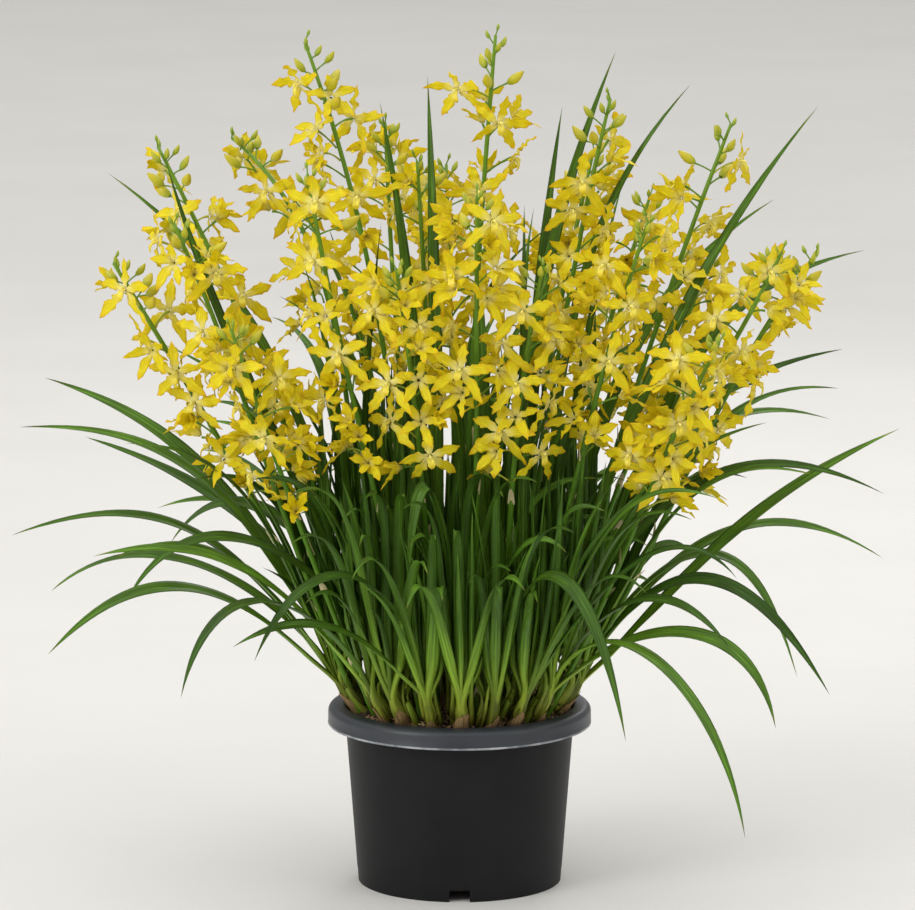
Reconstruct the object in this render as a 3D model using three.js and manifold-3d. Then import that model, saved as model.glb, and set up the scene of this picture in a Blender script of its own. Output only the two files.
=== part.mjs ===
// Potted cymbidium orchid: a squat nursery pot of bark mix, packed with leafy shoots and flower spikes.
// Millimetres, +Z up. The origin is on the floor under the pot's axis, and the viewer stands towards -Y.
import * as THREE from 'three';
import Module from 'manifold-3d';

// Pot, moulded in one piece with a turned-down rim and four drain slots
const RIM_DIAMETER = 254;
const POT_HEIGHT = 174;
const WALL_TOP_DIAMETER = 223;
const WALL_BASE_DIAMETER = 196.5;
const WALL = 2.4;
const RIM_DROP = 18.5;
const RIM_ROLL = 7;
const RIM_WEB = 5.4;
const FOOT_HEIGHT = 8;
const FOOT_RING = 2.9;
const SLOT_WIDTH = 19.6;
const SLOT_HEIGHT = 12.7;
const SLOT_DEPTH = 18;
const SLOT_COUNT = 4;
const POT_SIDES = 20;

// Potting mix of bark, with a plain hole for each shoot and stem
const MIX_TOP = 160;
const HOLE_DEPTH = 14;
const FIT_GAP = 0.3;
const CHIP_COUNT = 5;
const CHIP_THICKNESS = 4;
const SPOT_GAP = 1.5;
const PLANTED_RADIUS = 101;

// Shoots, each a sheathed bulb with its fan of strap leaves
const BULB_HEIGHT = 50;
const BULB_WIDTH = 18;
const BULB_DEPTH = 12.5;
const BULB_SIDES = 4;
const PEG_RADIUS = 5.5;
const LEAF_START = 8;
const LEAF_WIDTH = 14.5;
const LEAF_KEEL = 1.9;
const LEAF_BALL = 3.3;
const DEEPEST_TIP = 285;

// Spikes, each a stem with its open blooms below and its buds above
const STEM_RADIUS = 3.1;
const STEM_TIP_RADIUS = 1.3;
const STEM_STEPS = 4;
const STEM_SIDES = 4;
const PEDICEL_LENGTH = 30;
const PEDICEL_RADIUS = 0.9;
const PEDICEL_SINK = 0.5;
const TEPAL_LENGTH = 34.5;
const TEPAL_HALF_WIDTH = 6;
const THROAT_RADIUS = 4.6;
const THROAT_HALF_DEPTH = 2.4;
const LEAST_TURN = 0.35;
const GOLDEN_ANGLE = 137.5;
const OPEN_SHARE = 0.75;
const BUD_LENGTH = 21;
const BUD_RADIUS = 4.1;

const LEAF_GREEN = 0x33641f;
const BLOOM_YELLOW = 0xebc91c;
const POT_BLACK = 0x2b2c2f;
const BARK_BROWN = 0x4a3325;

const DEGREE = Math.PI / 180;

// Small vector helpers on [x, y, z]
const add = (a, b, scale = 1) => [a[0] + b[0] * scale, a[1] + b[1] * scale, a[2] + b[2] * scale];
const dot = (a, b) => a[0] * b[0] + a[1] * b[1] + a[2] * b[2];
const cross = (a, b) => [a[1] * b[2] - a[2] * b[1], a[2] * b[0] - a[0] * b[2], a[0] * b[1] - a[1] * b[0]];
const span = (a, b) => Math.hypot(a[0] - b[0], a[1] - b[1], a[2] - b[2]);

function unit(a) {
  const length = Math.hypot(a[0], a[1], a[2]);
  return [a[0] / length, a[1] / length, a[2] / length];
}

// A direction from its compass angle about +Z and its angle above the level, in degrees
function heading(azimuth, rise) {
  const level = Math.cos(rise * DEGREE);
  return [level * Math.cos(azimuth * DEGREE), level * Math.sin(azimuth * DEGREE), Math.sin(rise * DEGREE)];
}

// One seeded run of random draws for the whole plant
let seed = 20260;

function draw(low = 0, high = 1) {
  seed = (seed * 16807) % 2147483647;
  return low + (high - low) * (seed / 2147483647);
}

// The space already taken, kept as small balls in cubic cells
const CELL = 16;
const CELL_ROW = 200;
const room = new Map();

function cellsNear(ball, reach) {
  const found = [];
  const low = ball.map((value) => Math.floor((value - reach) / CELL) + CELL_ROW / 2);
  const high = ball.map((value) => Math.floor((value + reach) / CELL) + CELL_ROW / 2);
  for (let i = low[0]; i <= high[0]; i += 1) {
    for (let j = low[1]; j <= high[1]; j += 1) {
      for (let k = low[2]; k <= high[2]; k += 1) found.push((i * CELL_ROW + j) * CELL_ROW + k);
    }
  }
  return found;
}

// Balls are [x, y, z, radius, loose]; loose ones may meet balls of their own node
function keep(owner, balls) {
  for (const ball of balls) {
    for (const cell of cellsNear(ball, ball[3])) {
      if (!room.has(cell)) room.set(cell, []);
      room.get(cell).push([...ball, owner]);
    }
  }
}

function isClear(owner, balls) {
  for (const ball of balls) {
    for (const cell of cellsNear(ball, ball[3])) {
      for (const other of room.get(cell) ?? []) {
        if (other[5] === owner && (ball[4] || other[4])) continue;
        if (span(ball, other) < ball[3] + other[3]) return false;
      }
    }
  }
  return true;
}

const ARC_STEPS = 24;

// A smooth arc in an upright plane: it leaves the root at one angle above the level and ends at another
function arc(root, tip, rise, end, fullness) {
  const azimuth = Math.atan2(tip[1] - root[1], tip[0] - root[0]) / DEGREE;
  const reach = fullness * span(root, tip);
  const first = add(root, heading(azimuth, rise), reach);
  const second = add(tip, heading(azimuth, end), -reach);
  const at = (t) => {
    const s = 1 - t;
    const weights = [s * s * s, 3 * s * s * t, 3 * s * t * t, t * t * t];
    return [0, 1, 2].map((i) => weights[0] * root[i] + weights[1] * first[i]
      + weights[2] * second[i] + weights[3] * tip[i]);
  };
  const along = (t) => {
    const s = 1 - t;
    return unit([0, 1, 2].map((i) => s * s * (first[i] - root[i])
      + 2 * s * t * (second[i] - first[i]) + t * t * (tip[i] - second[i])));
  };
  let length = 0;
  for (let i = 0; i < ARC_STEPS; i += 1) length += span(at(i / ARC_STEPS), at((i + 1) / ARC_STEPS));
  return { at, along, length, azimuth, side: heading(azimuth + 90, 0) };
}

const wasm = await Module();
wasm.setup();

// A closed solid from its corners and faces, turned so that its faces point out
function solid(points, faces) {
  let volume = 0;
  for (const [a, b, c] of faces) volume += dot(points[a], cross(points[b], points[c]));
  const turned = volume < 0 ? faces.map(([a, b, c]) => [a, c, b]) : faces;
  return new wasm.Manifold(new wasm.Mesh({
    numProp: 3,
    vertProperties: Float32Array.from(points.flat()),
    triVerts: Uint32Array.from(turned.flat()),
  }));
}

// The solid of a three.js geometry, its shared corners merged
function solidOf(geometry) {
  const position = geometry.attributes.position;
  const places = new Map();
  const points = [];
  const corners = [];
  for (let i = 0; i < position.count; i += 1) {
    const point = [position.getX(i), position.getY(i), position.getZ(i)];
    const place = point.map((value) => Math.round(value * 1e4)).join();
    if (!places.has(place)) places.set(place, points.push(point) - 1);
    corners.push(places.get(place));
  }
  const order = geometry.index ? Array.from(geometry.index.array) : corners.map((corner, i) => i);
  const faces = [];
  for (let i = 0; i < order.length; i += 3) {
    const face = [corners[order[i]], corners[order[i + 1]], corners[order[i + 2]]];
    if (new Set(face).size === 3) faces.push(face);
  }
  return solid(points, faces);
}

// A skin through rings of equal count, closed at both ends; a ring of one point is a pointed end
function loft(rings) {
  const points = rings.flat();
  const faces = [];
  let start = 0;
  for (let r = 0; r + 1 < rings.length; r += 1) {
    const count = rings[r].length;
    const next = start + count;
    for (let i = 0; i < count; i += 1) {
      const j = (i + 1) % count;
      if (rings[r + 1].length === 1) {
        faces.push([start + i, start + j, next]);
      } else {
        faces.push([start + i, start + j, next + j], [start + i, next + j, next + i]);
      }
    }
    start = next;
  }
  const lastCount = rings.at(-1).length;
  for (let i = 1; i + 1 < rings[0].length; i += 1) faces.push([0, i + 1, i]);
  for (let i = 1; i + 1 < lastCount; i += 1) faces.push([start, start + i, start + i + 1]);
  return solid(points, faces);
}

function ring(centre, across, upright, width, depth, sides) {
  return Array.from({ length: sides }, (unused, i) => {
    const angle = (i / sides) * 2 * Math.PI;
    return add(add(centre, across, width * Math.cos(angle)), upright, depth * Math.sin(angle));
  });
}

const join = (solids) => wasm.Manifold.union(solids);

// Spikes: angle and radius of the root; tip x, y, z; angle at the root and at the tip; blooms; buds
const SPIKES = [
  [180, 40, -148, 45, 810, 86, 68, 8, 3],
  [0, 0, 34, -25, 824, 88, 84, 8, 3],
  [180, 70, -289, 40, 710, 72, 62, 8, 3],
  [180, 89, -327, -60, 612, 64, 59, 8, 3],
  [150, 89, -222, 150, 704, 76, 30, 3, 3],
  [0, 40, 144, 30, 757, 80, 76, 8, 3],
  [60, 70, 130, 125, 694, 80, 74, 6, 2],
  [0, 70, 260, 50, 730, 72, 68, 8, 3],
  [0, 89, 337, -45, 618, 56, 54, 8, 3],
  [240, 70, -142, -115, 704, 80, 80, 8, 2],
  [120, 40, -41, 85, 690, 86, 80, 6, 2],
  [90, 89, -13, 165, 676, 84, 80, 5, 2],
  [300, 70, 78, -140, 620, 80, 66, 8, 2],
  [240, 40, -59, -150, 620, 80, 66, 8, 2],
  [30, 89, 246, 130, 592, 70, 66, 6, 2],
  [210, 89, -214, -130, 560, 66, 70, 7, 2],
  [330, 89, 242, -150, 550, 58, 60, 7, 2],
  [60, 89, 188, 205, 640, 74, 66, 5, 2],
  [120, 70, -73, 215, 710, 76, 82, 6, 2],
  [285, 60, 16, -160, 690, 84, 74, 7, 2],
  [320, 70, 176, -120, 660, 74, 70, 7, 2],
  [195, 89, -268, -95, 655, 66, 66, 8, 2],
  [0, 55, 302, -100, 628, 66, 64, 8, 2],
];

// Shoots stand in rings and part rings: radius, count, first angle, angle between, leaves
const SHOOT_RINGS = [
  [87, 12, 15, 30, 5],
  [55, 6, 30, 60, 5],
  [21, 3, 30, 120, 4],
  [88, 3, 240, 30, 5],
  [88, 1, 120, 30, 4],
  [38, 2, 60, 240, 4],
];

// Leaves placed one by one: shoot; tip x, y, z; angle at the root and at the tip; fullness of the arc
const LEAVES = [
  [16, -50, -118, 300, 86, -86, 1.6],
  [18, 150, 60, 800, 82, 66, 0.36],
  [9, 155, -220, 185, 80, -76, 1.12],
  [8, -191, -230, 263, 78, -62, 0.66],
  [6, -427, -60, 350, 54, -20, 0.48],
  [6, -386, -180, 259, 46, -42, 0.48],
  [7, -340, -230, 363, 52, -8, 0.42],
  [7, -256, -300, 244, 56, -72, 0.5],
  [8, -211, -230, 277, 52, -24, 0.42],
  [15, -315, -120, 298, 66, -60, 0.5],
  [14, -281, 60, 319, 66, -58, 0.5],
  [5, -427, 60, 434, 58, -6, 0.45],
  [5, -409, 110, 473, 56, 10, 0.42],
  [4, -368, 150, 408, 52, 14, 0.4],
  [14, -341, 90, 683, 64, 40, 0.4],
  [15, -279, -20, 705, 66, 74, 0.36],
  [19, -77, 80, 749, 84, 72, 0.36],
  [19, -28, 100, 769, 86, 78, 0.36],
  [12, 99, 80, 744, 86, 76, 0.36],
  [12, 221, 40, 770, 78, 48, 0.38],
  [17, 344, 50, 748, 66, 48, 0.38],
  [12, 306, 120, 648, 68, 28, 0.4],
  [0, 395, 120, 598, 66, 8, 0.44],
  [1, 379, 190, 489, 62, 6, 0.44],
  [1, 365, 230, 408, 62, -18, 0.44],
  [11, 420, -30, 448, 46, 24, 0.4],
  [17, 403, -40, 385, 62, -26, 0.48],
  [0, 412, 60, 304, 54, -34, 0.48],
  [0, 324, -40, 207, 58, -74, 0.8],
  [11, 351, -120, 207, 60, -58, 0.66],
  [10, 296, -190, 191, 50, -78, 0.52],
  [10, 265, -260, 102, 62, -78, 0.55],
  [10, 256, -200, 275, 58, -46, 0.48],
  [3, 70, 300, 380, 60, -18, 0.46],
];

const claimed = [];

// The nearest free place in the mix to the one that is wanted, searched in widening circles
function freeSpot(x, y, radius) {
  for (let circle = 0; circle < 40; circle += 1) {
    for (let turn = 0; turn < 12; turn += 1) {
      const spot = add([x, y, 0], heading(turn * 30, 0), circle * 1.5);
      const isFree = claimed.every((other) => span(spot, other.spot) > radius + other.radius + SPOT_GAP);
      if (isFree && Math.hypot(spot[0], spot[1]) < PLANTED_RADIUS - radius) {
        claimed.push({ spot, radius });
        return spot;
      }
    }
  }
  throw new Error('no room left in the mix');
}

// Shoots take their places first, then the stems between them
const shoots = [];
for (const [radius, count, first, between, leafCount] of SHOOT_RINGS) {
  for (let i = 0; i < count; i += 1) {
    const azimuth = first + i * between;
    const lean = 90 - radius * 0.42;
    const wanted = heading(azimuth + draw(-3, 3), 0);
    const spot = freeSpot(wanted[0] * radius, wanted[1] * radius, PEG_RADIUS + 1);
    const foot = [spot[0], spot[1], MIX_TOP];
    const way = heading(azimuth, lean);
    const side = heading(azimuth + 90, 0);
    const upper = cross(way, side);
    const name = `shoot_${String(shoots.length + 1).padStart(2, '0')}`;
    shoots.push({ name, spot, foot, azimuth, lean, way, side, upper, leafCount, leaves: [] });
  }
}

// Balls along a bulb, a stem, a leaf or a bloom, close enough that nothing slips between them
function bulbBalls(shoot) {
  const balls = [];
  for (let reach = 2; reach < BULB_HEIGHT; reach += 7) {
    const centre = add(shoot.foot, shoot.way, reach);
    for (const offset of [-3, 3]) balls.push([...add(centre, shoot.upper, offset), 6, 1]);
  }
  return balls;
}

const stemRadius = (t) => STEM_RADIUS + (STEM_TIP_RADIUS - STEM_RADIUS) * t;

function stemBalls(path) {
  const count = Math.ceil(path.length / 5);
  return Array.from({ length: count + 1 }, (unused, i) => {
    const t = i / count;
    return [...path.at(t), stemRadius(t) + 1.2, 1];
  });
}

// The middle direction of the flat side of a stem that looks a given way
function flatSide(path, turn) {
  const sideAngle = 360 / STEM_SIDES;
  return path.azimuth + (Math.floor((turn - path.azimuth) / sideAngle) + 0.5) * sideAngle;
}

const towardsFlat = (path, turn) => (turn + flatSide(path, turn)) / 2;

// The place just under a stem's flat side where a stalk leaves it
function stalkFoot(path, t, turn) {
  const step = Math.min(STEM_STEPS - 1, Math.floor(t * STEM_STEPS));
  const within = t * STEM_STEPS - step;
  const low = path.at(step / STEM_STEPS);
  const high = path.at((step + 1) / STEM_STEPS);
  const centre = low.map((value, i) => value + (high[i] - value) * within);
  const inset = stemRadius(t) * Math.cos(Math.PI / STEM_SIDES) - PEDICEL_SINK;
  return add(centre, heading(flatSide(path, turn), 0), inset);
}

function leafWidth(leaf, t) {
  const taper = Math.max(0, (t - 0.4) / 0.6);
  return leaf.width * Math.min(1, 0.35 + 2.5 * t) * (1 - taper ** 2.4);
}

function leafFrame(leaf, t) {
  const along = leaf.path.along(t);
  const level = leaf.path.side;
  const upper = cross(along, level);
  const turn = (leaf.roll + leaf.twist * t) * DEGREE;
  const across = add(add([0, 0, 0], level, Math.cos(turn)), upper, Math.sin(turn));
  return { centre: leaf.path.at(t), across, upper: cross(along, across) };
}

function leafBalls(leaf) {
  const balls = [];
  const count = Math.ceil(leaf.path.length / 5);
  for (let i = 1; i <= count; i += 1) {
    const t = i / count;
    const { centre, across } = leafFrame(leaf, t);
    const width = leafWidth(leaf, t);
    const isLoose = t * leaf.path.length < 60 ? 1 : 0;
    const rows = width > 9 ? [-0.33, 0, 0.33] : [-0.22, 0.22];
    for (const row of rows) balls.push([...add(centre, across, row * width), LEAF_BALL, isLoose]);
  }
  return balls;
}

// Tepals, clockwise as the viewer sees them: angle, length and width share, forward bend, full sides
const TEPALS = [
  [90, 1, 1, 4, [-1, 1]],
  [160, 0.98, 1, 2, [-1, 1]],
  [222, 1, 0.95, -3, [-1]],
  [318, 1, 0.95, -3, [1]],
  [380, 0.98, 1, 2, [-1, 1]],
];
const TEPAL_WAIST = 0.56;

function bloomFrame(head) {
  const across = unit(cross(head.facing, [0, 0, 1]));
  const upright = cross(across, head.facing);
  const roll = head.roll * DEGREE;
  return {
    across: add(add([0, 0, 0], across, Math.cos(roll)), upright, Math.sin(roll)),
    upright: add(add([0, 0, 0], across, -Math.sin(roll)), upright, Math.cos(roll)),
  };
}

function bloomBalls(head) {
  const { across, upright } = bloomFrame(head);
  const balls = [[...head.centre, 6.5, 0]];
  for (const [angle, share, , bend] of TEPALS) {
    const way = add(add([0, 0, 0], across, Math.cos(angle * DEGREE)), upright, Math.sin(angle * DEGREE));
    for (const [along, radius] of [[0.34, 4.8], [0.62, 5.2], [0.9, 3.2]]) {
      const reach = along * share * head.size;
      balls.push([...add(add(head.centre, way, reach), head.facing, bend * along * along), radius, 0]);
    }
  }
  for (const along of [0.35, 0.6]) {
    balls.push([...head.foot.map((value, i) => value + (head.centre[i] - value) * along), 2, 1]);
  }
  return balls;
}

function budBalls(head) {
  const middle = add(head.base, head.way, head.size * 0.4);
  const end = add(head.base, head.way, head.size * 0.8);
  const waist = [0, 1, 2].map((i) => (head.base[i] + head.foot[i]) / 2);
  return [[...middle, head.size * 0.24, 0], [...end, head.size * 0.16, 0], [...waist, 1.8, 1]];
}

// The rim keeps its room first, then the bulbs, then each stem as it finds its way up
const RIM_BALL = 12;
const STEM_TRIES = 80;
for (let turn = 0; turn < 360; turn += 6) {
  const [x, y] = heading(turn, 0);
  const reach = (RIM_DIAMETER - RIM_DROP) / 2;
  keep('pot', [[x * reach, y * reach, POT_HEIGHT - 8, RIM_BALL, 0]]);
}
for (const shoot of shoots) keep(shoot.name, bulbBalls(shoot));

const spikes = SPIKES.map(([azimuth, radius, tipX, tipY, tipZ, rise, end, blooms, buds], i) => {
  const name = `spike_${String(i + 1).padStart(2, '0')}`;
  const wanted = heading(azimuth, 0);
  const spot = freeSpot(wanted[0] * radius, wanted[1] * radius, STEM_RADIUS + 1);
  for (let attempt = 0; attempt < STEM_TRIES; attempt += 1) {
    const tip = [tipX + draw(-1, 1) * attempt * 0.4, tipY + draw(-1, 1) * attempt * 1.5, tipZ];
    const path = arc([spot[0], spot[1], MIX_TOP], tip, rise, end, 0.36);
    if (!isClear(name, stemBalls(path))) continue;
    keep(name, stemBalls(path));
    return { name, spot, path, blooms, buds, heads: [] };
  }
  throw new Error(`${name} has no clear way up`);
});

// A leaf tries its own place first, then places a little to the side and mostly nearer or further back
function placeLeaf(shoot, tip, rise, end, fullness, width, tries) {
  for (let attempt = 0; attempt < tries; attempt += 1) {
    const shift = attempt * 0.5;
    const moved = add(tip, [draw(-1, 1) * shift, draw(-1, 1) * shift * 6, draw(-1, 1) * shift]);
    const sheath = add(shoot.foot, shoot.way, BULB_HEIGHT - LEAF_START);
    const stacked = Math.max(-5, Math.min(5, (rise - shoot.lean) * 0.3));
    const root = add(sheath, shoot.upper, stacked);
    const path = arc(root, moved, rise + draw(-1, 1) * shift, end + draw(-1, 1) * shift, fullness);
    const towardsSide = Math.cos(path.azimuth * DEGREE);
    const leaf = { path, width, roll: 14 * towardsSide, twist: 34 * towardsSide + draw(-18, 18) };
    if (isClear(shoot.name, leafBalls(leaf))) {
      keep(shoot.name, leafBalls(leaf));
      shoot.leaves.push(leaf);
      return;
    }
  }
}

const LEAF_TRIES = 50;
for (const [index, x, y, z, rise, end, fullness] of LEAVES) {
  placeLeaf(shoots[index], [x, y, z], rise, end, fullness, LEAF_WIDTH * draw(0.9, 1.12), LEAF_TRIES);
}

const BLOOM_TRIES = 60;
const BUD_TRIES = 20;

// Stalks crowd towards the open side of their stem, away from the middle of the plant
function openSide(outward, turn) {
  const off = ((((turn - outward) % 360) + 540) % 360) - 180;
  return outward + off * OPEN_SHARE;
}

// Blooms open from below, a golden angle apart; each looks away from its stem, outwards and a little down
for (const spike of spikes) {
  const tip = spike.path.at(1);
  const outward = Math.atan2(tip[1], tip[0]) / DEGREE;
  const opened = Math.min(0.5, 0.052 * spike.blooms);
  const top = 1 - 0.022 * spike.buds - 0.02;
  const firstTurn = draw(0, 360);
  for (let i = 0; i < spike.blooms; i += 1) {
    for (let attempt = 0; attempt < BLOOM_TRIES; attempt += 1) {
      const t = top - opened * (i / spike.blooms) + draw(-0.01, 0.01);
      const open = openSide(outward, firstTurn + i * GOLDEN_ANGLE);
      const turn = towardsFlat(spike.path, open + draw(-1, 1) * attempt * 5);
      const foot = stalkFoot(spike.path, t, turn);
      const stalk = heading(turn, 28 + draw(-12, 14));
      const centre = add(foot, stalk, PEDICEL_LENGTH * draw(0.85, 1.1));
      const look = add(heading(turn, 0), heading(outward, 0), 0.45);
      const facing = unit(add(look, [0, -0.45, draw(-0.75, 0.25)]));
      const size = TEPAL_LENGTH * draw(0.9, 1.05);
      const head = { kind: 'bloom', foot, centre, facing, size, roll: draw(-14, 14) };
      if (dot(stalk, facing) > LEAST_TURN && isClear(spike.name, bloomBalls(head))) {
        keep(spike.name, bloomBalls(head));
        spike.heads.push(head);
        break;
      }
    }
  }
  for (let i = 0; i < spike.buds; i += 1) {
    const share = (i + 0.5) / spike.buds;
    for (let attempt = 0; attempt < BUD_TRIES; attempt += 1) {
      const turn = towardsFlat(spike.path, firstTurn + 70 - i * GOLDEN_ANGLE + draw(-1, 1) * attempt * 6);
      const foot = stalkFoot(spike.path, top + (0.985 - top) * share, turn);
      const way = heading(turn, 30 + 35 * share + draw(-8, 8));
      const size = BUD_LENGTH * (1 - 0.55 * share);
      const base = add(foot, heading(turn, 10 + 30 * share), 17 * (1 - 0.75 * share));
      const head = { kind: 'bud', foot, base, way, size };
      if (isClear(spike.name, budBalls(head))) {
        keep(spike.name, budBalls(head));
        spike.heads.push(head);
        break;
      }
    }
  }
}

// The other leaves fill each fan: the outer shoots arch widely and the inner ones stand
const FAN_TRIES = 260;
for (const shoot of shoots.toReversed()) {
  const outer = Math.hypot(shoot.spot[0], shoot.spot[1]) / SHOOT_RINGS[0][0];
  for (let attempt = 0; attempt < FAN_TRIES && shoot.leaves.length < shoot.leafCount; attempt += 1) {
    const azimuth = shoot.azimuth + draw(-40, 40) * (1.8 - outer * 0.8);
    const towardsViewer = Math.max(0, -Math.sin(azimuth * DEGREE));
    const reach = (40 + 280 * outer * draw(0.35, 1)) * (1 - 0.45 * towardsViewer);
    const height = draw(400 - 140 * outer + 50 * towardsViewer, 740 - 200 * outer - 130 * towardsViewer);
    const tip = add([shoot.spot[0], shoot.spot[1], 0], heading(azimuth, 0), reach);
    if (Math.abs(tip[1]) > DEEPEST_TIP) continue;
    const stand = (height - 230) / 510;
    const rise = 88 - 32 * outer * (1 - 0.5 * stand) - draw(0, 6);
    const end = -60 + 130 * stand + draw(-14, 14);
    placeLeaf(shoot, [tip[0], tip[1], height], rise, end, 0.42, LEAF_WIDTH * draw(0.68, 0.98), 1);
  }
}

// The solid forms of bulb, leaf, stem, bloom and bud
function bulbSolid(shoot) {
  const { foot, way, side, upper } = shoot;
  const rings = [HOLE_DEPTH - FIT_GAP, 0].map((depth) => (
    ring(add(foot, [0, 0, -depth]), heading(shoot.azimuth, 0), side, PEG_RADIUS, PEG_RADIUS, BULB_SIDES)));
  for (const [share, girth] of [[0.26, 0.96], [1, 0.84]]) {
    const centre = add(foot, way, BULB_HEIGHT * share);
    rings.push(ring(centre, upper, side, BULB_WIDTH * girth * -0.5, BULB_DEPTH * girth * 0.5, BULB_SIDES));
  }
  return loft(rings);
}

function leafSolid(leaf) {
  const rings = [];
  const turned = Math.acos(Math.min(1, dot(leaf.path.along(0), leaf.path.along(1)))) / DEGREE;
  const steps = 3 + Math.round(turned / 40);
  for (let i = 0; i < steps; i += 1) {
    const t = i / steps;
    const { centre, across, upper } = leafFrame(leaf, t);
    const half = leafWidth(leaf, t) / 2;
    const keel = LEAF_KEEL * (1.4 - 0.8 * t);
    rings.push([add(centre, across, -half), add(centre, upper, -keel), add(centre, across, half)]);
  }
  rings.push([leaf.path.at(1)]);
  return loft(rings);
}

function stemSolid({ spot, path }) {
  const outward = heading(path.azimuth, 0);
  const foot = [spot[0], spot[1], MIX_TOP - HOLE_DEPTH + FIT_GAP];
  const rings = [ring(foot, outward, path.side, STEM_RADIUS, STEM_RADIUS, STEM_SIDES)];
  for (let i = 0; i <= STEM_STEPS; i += 1) {
    const t = i / STEM_STEPS;
    rings.push(ring(path.at(t), outward, path.side, stemRadius(t), stemRadius(t), STEM_SIDES));
  }
  return loft(rings);
}

function bloomSolid(head) {
  const { across, upright } = bloomFrame(head);
  const place = (angle, reach, side, forward) => {
    const way = add(add([0, 0, 0], across, Math.cos(angle * DEGREE)), upright, Math.sin(angle * DEGREE));
    const beside = cross(way, head.facing);
    return add(add(add(head.centre, way, reach), beside, side), head.facing, forward);
  };
  const outline = [];
  const angles = [];
  TEPALS.forEach(([angle, share, girth, bend, sides], i) => {
    const next = TEPALS[(i + 1) % TEPALS.length][0] + (i + 1 === TEPALS.length ? 360 : 0);
    const reach = head.size * share;
    for (const side of [-1, 0, 1]) {
      if (side !== 0 && !sides.includes(side)) continue;
      const isTip = side === 0;
      const aside = side * TEPAL_HALF_WIDTH * girth;
      outline.push(place(angle, isTip ? reach : reach * TEPAL_WAIST, aside, isTip ? bend : bend * 0.2 - 0.6));
      angles.push(angle + side * 9);
    }
    outline.push(place((angle + next) / 2, THROAT_RADIUS, 0, 0));
    angles.push((angle + next) / 2);
  });
  const inner = unit(add(head.foot, head.centre, -1));
  const innerSide = unit(cross(upright, inner));
  const innerUp = cross(inner, innerSide);
  const [end, neck] = [head.foot, add(head.centre, head.facing, -THROAT_HALF_DEPTH)].map((centre) => (
    [90, 210, 330].map((angle) => add(add(centre, innerSide, PEDICEL_RADIUS * Math.cos(angle * DEGREE)),
      innerUp, PEDICEL_RADIUS * Math.sin(angle * DEGREE)))));
  const points = [add(head.centre, head.facing, THROAT_HALF_DEPTH), ...outline, ...neck, ...end];
  const count = outline.length;
  const nearest = angles.map((angle) => Math.floor(((angle + 330) % 360) / 120));
  const faces = [];
  for (let i = 0; i < count; i += 1) {
    const j = (i + 1) % count;
    faces.push([0, 1 + i, 1 + j]);
    faces.push([1 + j, 1 + i, 1 + count + nearest[i]]);
    if (nearest[i] !== nearest[j]) faces.push([1 + j, 1 + count + nearest[i], 1 + count + nearest[j]]);
  }
  for (let i = 0; i < 3; i += 1) {
    const j = (i + 1) % 3;
    faces.push([1 + count + j, 1 + count + i, 4 + count + i], [1 + count + j, 4 + count + i, 4 + count + j]);
  }
  faces.push([4 + count, 6 + count, 5 + count]);
  return solid(points, faces);
}

// The smallest buds swell straight from their stalks
function budSolid(head) {
  const side = unit(cross(head.way, [0, 0, 1]));
  const upper = cross(side, head.way);
  const waist = head.size > BUD_LENGTH * 0.7 ? [[0, PEDICEL_RADIUS]] : [];
  const rings = [...waist, [0.42, BUD_RADIUS * head.size / BUD_LENGTH]].map(([share, radius]) => (
    ring(add(head.base, head.way, head.size * share), side, upper, radius, radius, 3)));
  return loft([
    ring(head.foot, side, upper, PEDICEL_RADIUS, PEDICEL_RADIUS, 3),
    ...rings,
    [add(head.base, head.way, head.size)],
  ]);
}

// A hole for a shoot or stem, wider than what stands in it by the fit gap
function holeSolid(spot, azimuth, radius, sides) {
  const wide = radius + FIT_GAP / Math.cos(Math.PI / sides);
  return loft([MIX_TOP - HOLE_DEPTH, MIX_TOP + 5].map((z) => (
    ring([spot[0], spot[1], z], heading(azimuth, 0), heading(azimuth + 90, 0), wide, wide, sides))));
}

function lathe(profile, sides) {
  const geometry = new THREE.LatheGeometry(profile.map(([r, z]) => new THREE.Vector2(r, z)), sides);
  geometry.rotateX(Math.PI / 2);
  return geometry;
}

const rimRadius = RIM_DIAMETER / 2;
const topRadius = WALL_TOP_DIAMETER / 2;
const baseRadius = WALL_BASE_DIAMETER / 2;
const flare = (topRadius - baseRadius) / POT_HEIGHT;
const wallAt = (z) => baseRadius + flare * z;

function potSolid() {
  const skirt = POT_HEIGHT - RIM_DROP;
  const under = POT_HEIGHT - RIM_WEB;
  const profile = [
    [0, FOOT_HEIGHT],
    [baseRadius - FOOT_RING, FOOT_HEIGHT],
    [baseRadius - FOOT_RING, 0],
    [baseRadius, 0],
    [wallAt(under), under],
    [rimRadius - WALL, under],
    [rimRadius - WALL, skirt],
    [rimRadius, skirt],
    [rimRadius, POT_HEIGHT - RIM_ROLL],
    [rimRadius - RIM_ROLL, POT_HEIGHT],
    [topRadius + 2, POT_HEIGHT],
    [wallAt(under) - WALL, under - 1],
    [wallAt(FOOT_HEIGHT) - WALL, FOOT_HEIGHT + WALL],
    [0, FOOT_HEIGHT + WALL],
  ];
  let pot = solidOf(lathe(profile, POT_SIDES));
  for (let i = 0; i < SLOT_COUNT; i += 1) {
    const slot = new THREE.BoxGeometry(SLOT_DEPTH, SLOT_WIDTH, SLOT_HEIGHT * 2);
    slot.translate(baseRadius - 5, 0, 0);
    slot.rotateZ((i / SLOT_COUNT) * 2 * Math.PI);
    pot = pot.subtract(solidOf(slot));
  }
  return pot;
}

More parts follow.
